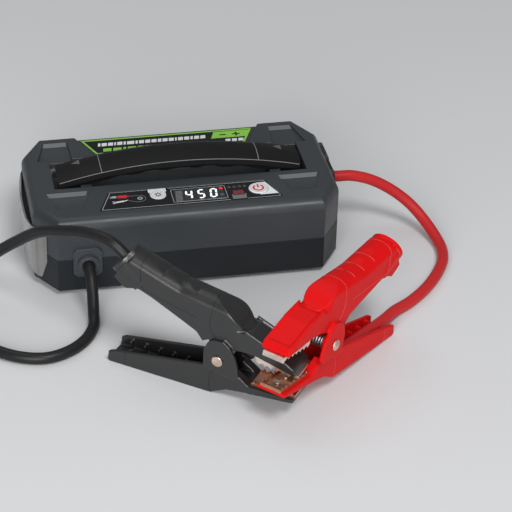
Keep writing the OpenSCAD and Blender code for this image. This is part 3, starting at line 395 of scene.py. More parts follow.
def draw_over(shape):
    """Opens the moulded radius along the top edge out to its full width, except at the rear."""
    for v in shape.verts:
        below = case_top - v.co.z
        on_edge = []
        for (nx, ny), reach in side_planes:
            if ny > 0:
                continue
            inset = reach - nx * v.co.x - ny * v.co.y
            off = math.hypot(cad_brow - inset, cad_brow - below) - cad_brow
            if abs(off) < 0.00012 and inset < cad_brow + 0.00001 and below < cad_brow + 0.00001:
                on_edge.append((nx, ny, inset * (brow / cad_brow - 1)))
        if not on_edge:
            continue
        v.co.z = case_top - below * brow / cad_brow
        if len(on_edge) == 1:
            nx, ny, step = on_edge[0]
            v.co.x -= nx * step
            v.co.y -= ny * step
            continue
        (ax, ay, a), (bx, by, b) = on_edge[:2]
        across = ax * by - ay * bx
        v.co.x -= (a * by - b * ay) / across
        v.co.y -= (ax * b - bx * a) / across


graphite = moulded_finish("graphite_nylon", (0.034, 0.039, 0.044), 0.40, grain=1500,
                          depth=0.00005, wear_and_highlight=0.30, dust=0.03, specular=0.45)
graphite_dark = moulded_finish("dark_nylon", (0.011, 0.0135, 0.016), 0.42, grain=1500,
                               depth=0.00005, wear_and_highlight=0.14, dust=0.03)
case_upper = moulding("upper_shell", "case_upper", graphite, 0.0006, reshape=draw_over)
case_upper.modifiers["rounded_edges"].use_clamp_overlap = False
moulding("lower_shell", "case_lower", graphite_dark, 0.0009)
foot_rubber = moulded_finish("foot_rubber", (0.02, 0.02, 0.021), 0.7, grain=1200,
                             wear_and_highlight=0.05, dust=0.3)
moulding("rubber_feet", "soft_feet", foot_rubber, 0.0008)


def stretched(tree, place, along):
    """The same places drawn out, so that a pattern runs in lines."""
    return add(tree, "Mapping", ("Vector", place), ("Scale", along)).outputs["Vector"]


def plated(name, colour, rough, scratches=420.0):
    """Bright plated or rolled metal, finely brushed and a little stained."""
    metal, tree, shader = blank(name)
    shader.inputs["Metallic"].default_value = 1.0
    place = on_piece(tree)
    lines = mottle(tree, stretched(tree, place, (1, 1, 14)), scratches, 3.0)
    stained = spread(tree, mottle(tree, place, 110.0, 4.0), 0.42, 0.72)
    dull = tuple(c * 0.62 for c in colour) + (1,)
    tree.links.new(mix_colour(tree, stained, tuple(colour) + (1,), dull), shader.inputs["Base Color"])
    brushed = spread(tree, lines, 0.3, 0.7, rough - 0.06, rough + 0.08)
    tree.links.new(arithmetic(tree, "ADD", brushed, arithmetic(tree, "MULTIPLY", stained, 0.15)),
                   shader.inputs["Roughness"])
    bump = add(tree, "Bump", ("Height", lines), ("Strength", 0.3), ("Distance", 0.00002))
    tree.links.new(bump.outputs["Normal"], shader.inputs["Normal"])
    return metal


zinc = plated("zinc_steel", (0.62, 0.62, 0.60), 0.32)
for node in ("case_screws", "handle_screws", "board_screws", "port_cover_pin"):
    give(frame["nodes"][node], zinc)


# ---------- handle ----------
# A stiff nylon bar held by a screw from below at each end, with a soft rubber sleeve over its middle
# and two moulded end caps. A thin light grey bead runs along its front edge and round each joint,
# as a painted highlight where those edges catch the light.

handle_rubber = moulded_finish("handle_rubber", (0.0085, 0.0085, 0.009), 0.50, grain=1300,
                               depth=0.00006, wear_and_highlight=0.25, dust=0.02, tone=0.2, specular=0.15)
handle_nylon = moulded_finish("handle_nylon", (0.009, 0.009, 0.0095), 0.46, grain=1500,
                              depth=0.00005, wear_and_highlight=0.25, dust=0.02, specular=0.15)
handle_highlight_grey = moulded_finish("handle_highlight_grey", (0.20, 0.20, 0.20), 0.45, wear_and_highlight=0.0, dust=0.05)
moulding("handle_grip", "handle_sleeve", handle_rubber, 0.0012)
moulding("handle_end_left", "handle_cap_left", handle_nylon, 0.0012)
moulding("handle_end_right", "handle_cap_right", handle_nylon, 0.0012)
give(frame["nodes"]["handle_core"], handle_nylon)

arch_r = 0.430
arch_middle = Vector((0, 0.0075, 0.0915 - arch_r))
handle_edge = ((-0.003, -0.0174), (-0.0012, -0.012), (0, -0.002),
               (-0.0006, 0.008), (-0.0026, 0.014), (-0.0056, 0.0172), (-0.009, 0.018))


def on_arch(x, out, across):
    """A place on the handle: x along it, out from the arch and across from its middle."""
    turn = math.asin(x / arch_r)
    reach = arch_r + out
    return arch_middle + Vector((reach * math.sin(turn), across, reach * math.cos(turn)))


def frozen(made, name):
    """The finished mesh of a curve, or of a shape with modifiers, which then goes."""
    scene.collection.objects.link(made)
    bpy.context.view_layer.update()
    mesh = bpy.data.meshes.new_from_object(made.evaluated_get(bpy.context.evaluated_depsgraph_get()))
    bpy.data.objects.remove(made)
    mesh.name = name
    for face in mesh.polygons:
        face.use_smooth = True
    return mesh


def bead(name, line, thick, finish, body="pack", sides=6, closed=False):
    """A thin round bead along a line of points."""
    wire = bpy.data.curves.new(name, "CURVE")
    wire.dimensions = "3D"
    wire.bevel_depth = thick / 2
    wire.bevel_resolution = max(1, sides // 2 - 1)
    wire.use_fill_caps = not closed
    run = wire.splines.new("POLY")
    run.points.add(len(line) - 1)
    for spot, p in zip(run.points, line):
        spot.co = (p.x, p.y, p.z, 1)
    run.use_cyclic_u = closed
    return set_down(name, frozen(bpy.data.objects.new(name, wire), name), finish, body)


bead_half, joint_x = 0.1075, 0.0702             # the front bead's half length, and where the sleeve ends
# light grey beads along the front edge and round each joint: a painted highlight where these edges catch the
# light
front_line = [on_arch(-bead_half + 2 * bead_half * i / 96, -0.0030, -0.0175) for i in range(97)]
bead("handle_front_highlight", front_line, 0.0007, handle_highlight_grey)
for side, x in (("left", -joint_x), ("right", joint_x)):
    section = [on_arch(x, out, across) for out, across in handle_edge]
    bead("handle_joint_highlight_" + side, section, 0.0008, handle_highlight_grey)


def walls(shape, low, high):
    """The faces between two rings of as many corners."""
    for i in range(len(low)):
        n = (i + 1) % len(low)
        shape.faces.new((low[i], low[n], high[n], high[i]))


def slab(name, outline, height, finish):
    """A flat shape standing on its outline, whose corners are places in space in order round it."""
    shape = bmesh.new()
    normal = (outline[1] - outline[0]).cross(outline[2] - outline[0]).normalized()
    low = [shape.verts.new(p) for p in outline]
    high = [shape.verts.new(p + normal * height) for p in outline]
    shape.faces.new(high)
    shape.faces.new(low[::-1])
    walls(shape, low, high)
    return set_down(name, mesh_of(shape, name), finish)


mark_grey = moulded_finish("mark_grey", (0.10, 0.10, 0.10), 0.5, wear_and_highlight=0.0, dust=0.05)
mark_x, mark_half = 0.0905, 0.0036
for way in (-1, 1):
    corners = [(way * mark_x - mark_half, 0.0045), (way * mark_x + mark_half, 0.0008),
               (way * mark_x + mark_half, 0.0082)]
    name = "handle_mark_" + ("left" if way < 0 else "right")
    soften(slab(name, [on_arch(x, -0.0002, y) for x, y in corners], 0.0004, mark_grey), 0.0001, 2)


# ---------- painted ramp highlights ---
# A thin slab of lighter grey lies on the ramp at the back of each shoulder pocket, as a painted
# highlight where the ramp catches the light. It is cut to the ramp's outline and laid flat on it.

# a lighter grey that paints the highlight on the pocket ramps
painted_ramp_highlight = moulded_finish("painted_ramp_highlight", (0.125, 0.131, 0.139), 0.42, grain=1500,
                                depth=0.00005, wear_and_highlight=0.1, dust=0.03)


def on_ramp(x, y, back):
    """A place on a pocket's ramp, which climbs 3 mm over the 6.5 mm up to its back edge."""
    return Vector((x / 1000, y / 1000, case_top + (y - back) / 1000 * 3 / 6.5))


highlight_strips = (("front", -22, ((86.4, -27.4), (118.3, -27.4), (120.2, -23.2), (84.8, -23.2))),
        ("rear", 64, ((93.2, 58.6), (114.2, 58.6), (113, 62.8), (93.2, 62.8))))
for way, side in ((-1, "left"), (1, "right")):
    for end, back, spots in highlight_strips:
        corners = [on_ramp(way * x, y, back) for x, y in spots[::way]]
        slab("ramp_highlight_" + end + "_" + side, corners, 0.0002, painted_ramp_highlight)


# ---------- rear deck label ----------
# A thin black film plate with a bright green border, a green field and rows of plain white and
# green blocks, screen printed and bonded to the deck behind the handle.

gloss_film = moulded_finish("gloss_black_film", (0.008, 0.008, 0.009), 0.16, grain=600,
                            depth=0.00001, wear_and_highlight=0.1, dust=0.05)
moulding("deck_label", "deck_plate", gloss_film, 0.0002)


def ink(name, colour, rough=0.4, glow=0.0):
    """Screen printed ink: nearly even, with fine pinholes."""
    paint, tree, shader = blank(name)
    dots = mottle(tree, on_piece(tree), 1500.0, 2.0)
    thin = tuple(c * 0.9 for c in colour) + (1,)
    full = tuple(min(1, c * 1.06) for c in colour) + (1,)
    tree.links.new(mix_colour(tree, spread(tree, dots, 0.35, 0.65), thin, full), shader.inputs["Base Color"])
    tree.links.new(spread(tree, dots, 0.3, 0.7, rough - 0.05, rough + 0.05), shader.inputs["Roughness"])
    if glow:
        shader.inputs["Emission Color"].default_value = tuple(colour) + (1,)
        shader.inputs["Emission Strength"].default_value = glow
    return paint


ink_white = ink("ink_white", (0.78, 0.79, 0.80))
ink_green = ink("ink_green", (0.26, 0.60, 0.07))
ink_grey = ink("ink_grey", (0.16, 0.165, 0.17))
ink_line = ink("ink_line", (0.42, 0.43, 0.44))
ink_red = ink("ink_red", (0.62, 0.02, 0.03))
ink_black = ink("ink_black", (0.012, 0.012, 0.012))
film = 0.00007                                  # how thick the ink lies


def print_flat(name, finish, shapes, z, body="pack", lift=0.0):
    """Printed shapes on a level face: each is a list of corners in millimetres, seen from above."""
    mark = bmesh.new()
    for outline in shapes:
        twice_area = sum(a[0] * b[1] - b[0] * a[1] for a, b in zip(outline, outline[1:] + outline[:1]))
        corners = outline if twice_area > 0 else outline[::-1]
        low = [mark.verts.new((x / 1000, y / 1000, z + lift)) for x, y in corners]
        high = [mark.verts.new((x / 1000, y / 1000, z + lift + film)) for x, y in corners]
        mark.faces.new(high)
        walls(mark, low, high)
    set_down(name, mesh_of(mark, name), finish, body)


def round_about(centre, radius, degrees):
    """Places on a circle at these angles."""
    turns = [math.radians(a) for a in degrees]
    return [(centre[0] + radius * math.cos(t), centre[1] + radius * math.sin(t)) for t in turns]


def stroke(a, b, width):
    """A straight stroke between two places."""
    dx, dy = b[0] - a[0], b[1] - a[1]
    k = width / 2 / math.hypot(dx, dy)
    return [(a[0] - dy * k, a[1] + dx * k), (a[0] + dy * k, a[1] - dx * k),
            (b[0] + dy * k, b[1] - dx * k), (b[0] - dy * k, b[1] + dx * k)]


def arc_band(centre, inner, outer, start=0.0, end=360.0, steps=32):
    """The quads of a ring or an arc."""
    degrees = [start + (end - start) * i / steps for i in range(steps + 1)]
    near, far = round_about(centre, inner, degrees), round_about(centre, outer, degrees)
    return [[near[i], far[i], far[i + 1], near[i + 1]] for i in range(steps)]


def disc(centre, radius):
    return [round_about(centre, radius, [11.25 * i for i in range(32)])]


def block_row(left, widths, low, high, slant, gap):
    """A row of leaning blocks with these widths."""
    blocks = []
    for width in widths:
        blocks.append([(left, low), (left + width, low), (left + width + slant, high), (left + slant, high)])
        left += width + gap
    return blocks


label_z = 0.0695
rear_l, rear_r, near_l, near_r = (-79, 70), (79, 70), (-68, 45), (68, 45)
print_flat("label_border", ink_green, [
    [rear_l, (-76.6, 68.2), (76.6, 68.2), rear_r],
    [rear_l, near_l, (-66.3, 46.2), (-76.2, 68.4)],
    [rear_r, (76.2, 68.4), (66.3, 46.2), near_r],
    [near_l, near_r, (66.3, 46.2), (-66.3, 46.2)]], label_z)
print_flat("label_field", ink_green, [[(43, 67.2), (39, 56), (72.0, 56), (76.9, 67.2)]], label_z,
           lift=0.00002)
print_flat("label_blocks_white", ink_white, block_row(
    -64.5, (2.2, 4.6, 4.6, 1.6, 4.6, 2.0, 6.6, 2.0, 4.6, 4.6, 4.6, 3.2, 4.6, 4.6, 1.6, 4.6, 4.6, 2.2,
            4.6, 4.6), 57.8, 63.2, 0.9, 1.15), label_z)
print_flat("label_blocks_green", ink_green, block_row(
    -61.0, (7.5, 7.5, 2.6, 7.5, 5.0, 7.5), 48.2, 53.4, 0.8, 1.6), label_z)
print_flat("label_blocks_pale", ink_white, block_row(51, (4.6, 4.6, 4.6), 48.6, 53.4, 0.8, 1.4), label_z)
# plus and minus signs on the green field
print_flat("label_signs", ink_black, [
    stroke((47.5, 61.5), (53.5, 61.5), 1.7), stroke((59.5, 61.5), (66.5, 61.5), 1.7),
    stroke((63, 58.2), (63, 60.6), 1.7), stroke((63, 62.4), (63, 64.8), 1.7)], label_z, lift=film + 0.00003)


# ---------- control panel ----------
# A gloss black film panel laid flush in the shoulder, with a thin printed border, pictograms and
# three push caps. The number window shows the charge in white segments.

moulding("control_panel", "panel_plate", gloss_film, 0.0003)
smoked, smoked_tree, smoked_shader = blank("smoked_window")
smear = mottle(smoked_tree, on_piece(smoked_tree), 60.0, 4.0)
smoked_tree.links.new(spread(smoked_tree, smear, 0.3, 0.7, 0.05, 0.14), smoked_shader.inputs["Roughness"])
smoked_shader.inputs["Base Color"].default_value = (0.012, 0.013, 0.014, 1)
smoked_shader.inputs["Coat Weight"].default_value = 0.6
moulding("display_window", "display_glass", smoked, 0.0002)
panel_top = 0.074

back_y, front_y = -30.6, -57.4
back_l, back_r, front_l, front_r = (-65.8, back_y), (69.8, back_y), (-76.0, front_y), (80.0, front_y)
print_flat("panel_border", ink_line, [
    stroke(front_l, back_l, 0.5), stroke(back_l, (-34, back_y), 0.4), stroke((-15.5, back_y), back_r, 0.4),
    stroke(back_r, front_r, 0.4), stroke(front_l, (36, front_y), 0.5), stroke((51, front_y), front_r, 0.4)],
    panel_top)
x0, x1, y0, y1 = -13.2, 34.2, -54.2, -33.6      # the number window, whose corners have a radius of 1
border = [stroke((x0 + 1, y0), (x1 - 1, y0), 0.45), stroke((x0 + 1, y1), (x1 - 1, y1), 0.45),
          stroke((x0, y0 + 1), (x0, y1 - 1), 0.45), stroke((x1, y0 + 1), (x1, y1 - 1), 0.45)]
for middle, start in (((x0 + 1, y0 + 1), 180), ((x1 - 1, y0 + 1), 270),
                      ((x1 - 1, y1 - 1), 0), ((x0 + 1, y1 - 1), 90)):
    border += arc_band(middle, 0.78, 1.22, start, start + 90, 6)
print_flat("display_border", ink_line, border, panel_top)

# white segments of the three figures, leaning a little
lit_white = ink("lit_segments", (0.92, 0.94, 0.96), 0.3, glow=0.55)
dim_grey = ink("dim_segments", (0.045, 0.047, 0.05))
digit_w, digit_h, lean = 6.4, 14.6, 0.10


def segment(name, left, base):
    """Corner points of one of the seven segments of a figure whose lower left corner is given."""
    w, h, t, g = digit_w, digit_h, 1.7, 0.22
    m = h / 2
    flat = {"top": (h - t, h), "mid": (m - t / 2, m + t / 2), "low": (0, t)}
    if name in flat:
        lo, hi = flat[name]
        c = (lo + hi) / 2
        tip, cut = t * 0.62 + g, t * 1.02 + g
        points = [(tip, c), (cut, lo), (w - cut, lo), (w - tip, c), (w - cut, hi), (cut, hi)]
    else:
        side, row = name
        x = 0 if side == "l" else w - t
        lo, hi = (g + t * 0.55, m - g) if row == "d" else (m + g, h - g - t * 0.55)
        points = [(x + t / 2, lo), (x + t, lo + t / 2), (x + t, hi - t / 2),
                  (x + t / 2, hi), (x, hi - t / 2), (x, lo + t / 2)]
    return [(left + px + lean * py, base + py) for px, py in points]


figures = {"4": ("lu", "ru", "mid", "rd"), "5": ("top", "lu", "mid", "rd", "low"),
           "0": ("top", "lu", "ru", "ld", "rd", "low")}
lit, unlit = [], []
for left, figure in ((-2.4, "4"), (8.4, "5"), (19.2, "0")):
    for part in ("top", "mid", "low", "lu", "ru", "ld", "rd"):
        shown = lit if part in figures[figure] else unlit
        shown.append(segment(part, left, -43.9 - digit_h / 2))
print_flat("figures_lit", lit_white, lit, panel_top)
print_flat("figures_unlit", dim_grey, unlit, panel_top)
bars = []
for k in range(8):
    up = 2.05 * k
    left, right, low = -11.0 + lean * up, -5.0 + lean * up, -52.2 + up
    bars.append([(left, low), (right, low), (right, low + 1.3), (left, low + 1.3)])
print_flat("charge_bars", ink_grey, bars, panel_top)
lit_red = ink("lit_red", (0.80, 0.03, 0.03), 0.3, glow=0.35)
print_flat("fault_light", lit_red, disc((30.6, -37.6), 1.8), panel_top)
service = (30.2, -47.9)
print_flat("service_ring", ink_grey, arc_band(service, 1.2, 1.7) + disc(service, 0.55), panel_top)

# pictogram: a red and a white clamp on one loop of lead
print_flat("picture_red", ink_red, [
    [(-60.6, -40.0), (-52.4, -40.6), (-51.8, -36.0), (-60.0, -36.0)],
    stroke((-52.4, -38.2), (-49.4, -38.2), 1.2)], panel_top)
print_flat("picture_grey", ink_line, [
    [(-65.2, -39.6), (-61.4, -39.4), (-61.0, -36.6), (-64.8, -36.2)],
    stroke((-64.6, -38.0), (-67.0, -37.0), 0.7), stroke((-64.6, -38.4), (-67.0, -39.6), 0.7)]
    + arc_band((-41.2, -43.0), 1.5, 2.3) + [stroke((-42.4, -43), (-40.0, -43), 0.5)], panel_top)
print_flat("picture_white", ink_white, [
    [(-62.4, -47.6), (-55.2, -46.4), (-55.2, -44.6), (-62.4, -45.6)],
    stroke((-62.2, -47.2), (-65.4, -48.4), 0.8), stroke((-62.2, -46.2), (-65.6, -45.4), 0.8),
    stroke((-55.2, -45.5), (-52.2, -44.4), 1.0)], panel_top)
print_flat("picture_lead", ink_grey, [
    stroke((-49.4, -38.2), (-42, -38.2), 0.55), stroke((-52.2, -44.6), (-46, -48.2), 0.55),
    stroke((-46, -48.2), (-41, -48.4), 0.55)] + arc_band((-41.4, -43.3), 4.8, 5.35, -85, 90, 20), panel_top)

# push caps with their signs
cap_white = moulded_finish("cap_white", (0.70, 0.71, 0.72), 0.36, grain=1400,
                           depth=0.00002, wear_and_highlight=0.0, dust=0.04)
cap_dark = moulded_finish("cap_dark", (0.028, 0.028, 0.03), 0.35, grain=1400,
                          depth=0.00002, wear_and_highlight=0.1, dust=0.04)
moulding("light_button", "light_cap", cap_white, 0.0005)
moulding("power_button", "power_cap", cap_white, 0.0006)
moulding("boost_button", "boost_cap", cap_dark, 0.0005)
light_top, power_top, boost_top = 0.0744, 0.0748, 0.0743
sun, power_mid = (-25, -40), (63, -43)
eighths = [45 * k for k in range(8)]
rays = [stroke(a, b, 0.75) for a, b in zip(round_about(sun, 2.7, eighths), round_about(sun, 3.7, eighths))]
print_flat("light_sign", ink_black, arc_band(sun, 1.4, 2.25) + rays, light_top, body="light_button")
print_flat("light_ring", ink_line, arc_band(sun, 5.6, 5.95), light_top, body="light_button")
print_flat("power_sign", ink_red, arc_band(power_mid, 3.4, 5.1, 122, 418, 36)
           + [stroke((63, -42.6), (63, -37.5), 1.7)], power_top, body="power_button")
print_flat("power_ring", ink_line, arc_band(power_mid, 6.5, 6.85, steps=48), power_top, body="power_button")
boost_x, boost_y = 44.5, -47
strokes = [stroke((boost_x + x - 1.6, boost_y + y), (boost_x + x + 1.6, boost_y + y), 0.55)
           for x in (-2.3, 2.3) for y in (-2.0, 0, 2.0)]
for x, y in ((-3.9, 0), (-0.7, -2), (-3.9, -2), (0.7, 0), (3.9, -2), (0.7, -2), (3.9, 0), (-0.7, 0)):
    strokes.append(stroke((boost_x + x, boost_y + y), (boost_x + x, boost_y + y + 2.0), 0.55))
print_flat("boost_sign", ink_red, strokes, boost_top, body="boost_button")

# printed fields that the caps stand in, cut round each cap
print_flat("boost_field", ink_grey, [[(37.9, -56.9), (50.4, -56.9), (51.0, -49.0), (38.6, -49.0)]],
           panel_top, lift=-0.00002)
over_light = round_about(sun, 7.3, [138.9 - 97.8 * k / 12 for k in range(13)])
print_flat("light_field", ink_white, [[(-32.9, -29.9), (-32.9, -35.2)] + over_light
                                      + [(-17.1, -35.2), (-17.1, -29.9)]], panel_top, lift=-0.00003)
round_power = round_about(power_mid, 8.9, [-90 + 7.5 * k for k in range(25)])
print_flat("power_field", ink_white, [[(63, -33.2), (71.0, -33.2), (79.4, -53.2), (63, -53.2)] + round_power],
           panel_top, lift=-0.00003)
give(frame["nodes"]["status_leds"], ink("led_dim", (0.07, 0.09, 0.07), 0.3))
rings = []
for k in range(4):
    rings += arc_band((38 + 4.6 * k, -37), 1.05, 1.4, steps=20)
print_flat("status_rings", ink_grey, rings, panel_top)
for node in ("display_module", "button_switches"):
    give(frame["nodes"][node], cap_dark)


# ---------- work lamp ----------
# A fluted milky lens set over the left end and round both its corners, on a black foam seal.
# Behind it sit a white cupped reflector and a small board of lamps.

milky, milky_tree, milky_shader = blank("milky_lens")
lens_place = on_piece(milky_tree)
flutes = mottle(milky_tree, stretched(milky_tree, lens_place, (20, 20, 1.0)), 7.0, 2.0)
clouds = mottle(milky_tree, lens_place, 70.0, 5.0)
milk = mix_colour(milky_tree, spread(milky_tree, flutes, 0.36, 0.64),
                  (0.165, 0.163, 0.158, 1), (0.235, 0.231, 0.223, 1))
cloudy = spread(milky_tree, clouds, 0.3, 0.8, 0.0, 0.3)
milky_tree.links.new(mix_colour(milky_tree, cloudy, milk, (0.215, 0.208, 0.195, 1)),
                     milky_shader.inputs["Base Color"])
milky_tree.links.new(spread(milky_tree, clouds, 0.3, 0.7, 0.12, 0.24), milky_shader.inputs["Roughness"])
ribs = add(milky_tree, "Bump", ("Height", flutes), ("Strength", 0.35), ("Distance", 0.0004))
milky_tree.links.new(ribs.outputs["Normal"], milky_shader.inputs["Normal"])
milky_shader.inputs["Coat Weight"].default_value = 0.5
milky_shader.inputs["Coat Roughness"].default_value = 0.08
milky_shader.inputs["Subsurface Weight"].default_value = 0.3
milky_shader.inputs["Subsurface Radius"].default_value = (0.004, 0.004, 0.003)
moulding("lamp_lens", "lamp_cover", milky, 0.0007)

reflector_white = moulded_finish("reflector_white", (0.80, 0.80, 0.78), 0.25, grain=900,
                                 depth=0.00001, wear_and_highlight=0.0, dust=0.04)
give(frame["nodes"]["lamp_reflector"], reflector_white)
foam_black = moulded_finish("foam_black", (0.014, 0.014, 0.015), 0.85, grain=700, depth=0.0002,
                            wear_and_highlight=0.0, dust=0.1)
give(frame["nodes"]["lamp_gasket"], foam_black)


# ---------- right end ----------
# A nylon socket block sits in the end wall, behind a soft moulded flap that keeps the dust out.
# The flap turns on a steel pin.

port_black = moulded_finish("port_black", (0.016, 0.016, 0.017), 0.5, grain=1500,
                            wear_and_highlight=0.1, dust=0.1)
moulding("port_block", "socket_block", port_black, 0.0004)
flap_rubber = moulded_finish("flap_rubber", (0.026, 0.028, 0.031), 0.55, grain=1300,
                             depth=0.00006, wear_and_highlight=0.1, dust=0.1)
moulding("port_cover", "socket_flap", flap_rubber, 0.0007)


# ---------- lead glands ----------
# Square rubber collars with cut corners, seated in the wall of the case. A rolled lip closes
# each one round its lead, and the black lead's collar has a raised frame too.

gland_grey = moulded_finish("gland_grey", (0.046, 0.051, 0.058), 0.40, grain=1500,
                            depth=0.00005, wear_and_highlight=0.3, dust=0.06)
gland_black = moulded_finish("gland_black", (0.012, 0.012, 0.013), 0.5, grain=1500,
                             depth=0.00005, wear_and_highlight=0.1, dust=0.06)
moulding("black_lead_gland", "black_gland", gland_grey, 0.0013)
moulding("red_lead_gland", "red_gland", gland_black, 0.0012)
lip = round_about((0, 0), 0.0068, [7.5 * k for k in range(48)])
bead("black_gland_lip", [Vector((-0.0915 + u, -0.0806, 0.034 + v)) for u, v in lip], 0.0019, gland_grey,
     sides=10, closed=True)
bead("red_gland_lip", [Vector((0.1401, u, 0.053 + v)) for u, v in lip], 0.0019, gland_black,
     sides=10, closed=True)
edge_line = [(-0.0119, -0.0100), (-0.0119, 0.0100), (-0.0085, 0.0134), (0.0085, 0.0134),
             (0.0119, 0.0100), (0.0119, -0.0100), (0.0085, -0.0134), (-0.0085, -0.0134)]
bead("black_gland_frame", [Vector((-0.0915 + u, -0.0755, 0.034 + v)) for u, v in edge_line], 0.0011,
     gland_grey, sides=8, closed=True)


# ---------- clamps ----------
# Two big spring clamps in glass-filled nylon, one black and one red. Each half is one moulding
# with a hollow back. One half of each stays with its lead and the other turns on the rivet.

# the black clamp's edges are painted strongly lighter, a painted highlight along its shoulders as well as
# wear
clamp_black = moulded_finish("clamp_black", (0.014, 0.014, 0.0145), 0.33, grain=1600,
                             depth=0.00005, wear_and_highlight=0.40, dust=0.02, edge=0.0014, specular=0.70)
clamp_red = moulded_finish("clamp_red", (0.62, 0.006, 0.007), 0.34, grain=1600,
                           depth=0.00004, wear_and_highlight=0.05, dust=0.005, edge=0.0014, specular=0.07)
# dark lines: the black clamp's parting lines and painted shade along its grip steps; the pale pink lines on
# the red clamp are a painted highlight
dark_seam_and_shade = moulded_finish("dark_seam_and_shade", (0.006, 0.006, 0.006), 0.6, wear_and_highlight=0.0, dust=0.0)
pale_red_seam_highlight = moulded_finish("pale_red_seam_highlight", (0.72, 0.09, 0.08), 0.4, wear_and_highlight=0.0, dust=0.0)

collar_tilt = math.radians(51)
collar_axis = Vector((-math.sin(collar_tilt), 0, math.cos(collar_tilt)))
collar_turn = collar_axis.to_track_quat("Z", "Y")


def tube_ring(shape, centre, inner, outer, half):
    """A short tube along the cuff's axis, added to the mesh."""
    place = Matrix.Translation(centre) @ collar_turn.to_matrix().to_4x4()
    rows = []
    for radius, h in ((inner, -half), (outer, -half), (outer, half), (inner, half)):
        ring = round_about((0, 0), radius, [5.625 * k for k in range(64)])
        rows.append([shape.verts.new(place @ Vector((x, y, h))) for x, y in ring])
    for i in range(4):
        walls(shape, rows[i], rows[(i + 1) % 4])


def cuff(shape, centre):
    """The round cuff where the lead goes in, blended into the handle."""
    tube_ring(shape, centre - 0.0085 * collar_axis, 0.0056, 0.0138, 0.0125)
    tube_ring(shape, centre + 0.0030 * collar_axis, 0.0056, 0.0146, 0.0018)


def fused(node, name, finish, place, smooth, extras=None):
    """The node's shape grown together with its extras and softened all over, as a moulding is."""
    shape = joined_up(node)
    shape.transform(place.inverted())
    if extras:
        extras(shape)
    bmesh.ops.recalc_face_normals(shape, faces=shape.faces)
    block = bpy.data.objects.new(name + "_raw", mesh_of(shape, name + "_raw"))
    remesh = block.modifiers.new("grown_together", "REMESH")
    remesh.mode = "VOXEL"
    remesh.voxel_size = 0.0006
    rounder = block.modifiers.new("rounded", "SMOOTH")
    rounder.factor = 0.5
    rounder.iterations = smooth
    thinner = block.modifiers.new("thinned", "DECIMATE")
    thinner.ratio = 0.34
    mesh = frozen(block, name)
    mesh.transform(place)
    return set_down(name, mesh, finish, frame["nodes"][node]["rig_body"], node)


half_w, back_r = 13, 7.5                        # a clamp's half width and the radius of its back


def ridge(u):
    """Height in millimetres of the top of the rounded back at u along the clamp."""
    return 57 + (-35 - u) * math.tan(math.radians(19.5 if u < -35 else 9.9))


def over_back(u, start, stop, sink=0.0):
    """Points across the rounded back, from one side to the other."""
    arc = [math.radians(start + (stop - start) * k / 18) for k in range(19)]
    return [(u, half_w * math.cos(a), ridge(u) - back_r + back_r * math.sin(a) - sink) for a in arc]


def on_flank(side, spots):
    """Points on one side of the clamp, each given along it and up."""
    return [(u, half_w * side, z) for u, z in spots]


def drawn(name, arm, place, points, finish, thick=0.00032):
    """A fine bead half sunk in the arm's own surface. It draws the parting lines of the mould, and along each
    grip step a line of painted shade (black clamp) and painted highlight (red clamp).
    """
    corners = [v.co for v in arm.data.vertices]
    skin = BVHTree.FromPolygons(corners, [tuple(p.vertices) for p in arm.data.polygons])
    line = [skin.find_nearest(place @ p)[0] for p in mm(*points)]
    bead(name, line, thick, finish, body=arm["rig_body"], sides=5)


shoulder = ((-3, 19), (-6, 22), (-8.5, 27), (-9, 33), (-8, 39), (-7, 43))
sleeve = ((-20, 33.6), (-34, 36.9), (-48, 40.3), (-62, 43.7), (-68, 45.4), (-70.6, 48.5),
          (-71, 53), (-71, 58))
ear = ((-5, -13), (-8, -18), (-9.3, -24), (-9, -30), (-8, -35))
tail = ((-86, -24), (-86.5, -29), (-86, -35))
for colour, plastic, seam_and_step_shading, fixed, moving, short in (
        ("black", clamp_black, dark_seam_and_shade, black_fixed, black_moving, 4.5),
        ("red", clamp_red, pale_red_seam_highlight, red_fixed, red_moving, 9)):
    centre = Vector((-92.5 + short, 0, 62.5 - 0.35 * short)) / 1000
    top = fused(colour + "_upper_arm", colour + "_clamp_top", plastic, moving, 10,
                extras=lambda shape: cuff(shape, centre))
    bottom = fused(colour + "_lower_arm", colour + "_clamp_bottom", plastic, fixed, 6)
    for name, flank, u in (("_shoulder_seam", shoulder, -6.5), ("_sleeve_seam", sleeve, -71)):
        drawn(colour + name, top, moving,
              on_flank(1, flank) + over_back(u, 0, 180) + on_flank(-1, flank[::-1]), seam_and_step_shading)
    # lines along the three grip steps: painted shade on the black clamp, painted highlight on the red one
    for k, share in enumerate((0.58, 0.41, 0.25)):
        drawn(colour + "_grip_step_shading_" + str(k + 1), top, moving,
              over_back((short - 95.5) * share, 42, 138, 0.6), seam_and_step_shading, 0.00055)
    ring = [moving @ (centre + collar_turn @ Vector((x, y, 0.0008)))
            for x, y in round_about((0, 0), 0.0141, [7.5 * k for k in range(48)])]
    bead(colour + "_cuff_ring", ring, 0.0006, seam_and_step_shading, body=top["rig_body"], sides=5, closed=True)
    for side, label in ((1, "left"), (-1, "right")):
        drawn(colour + "_ear_seam_" + label, bottom, fixed, on_flank(side, ear), seam_and_step_shading)
        drawn(colour + "_tail_seam_" + label, bottom, fixed, on_flank(side, tail), seam_and_step_shading)

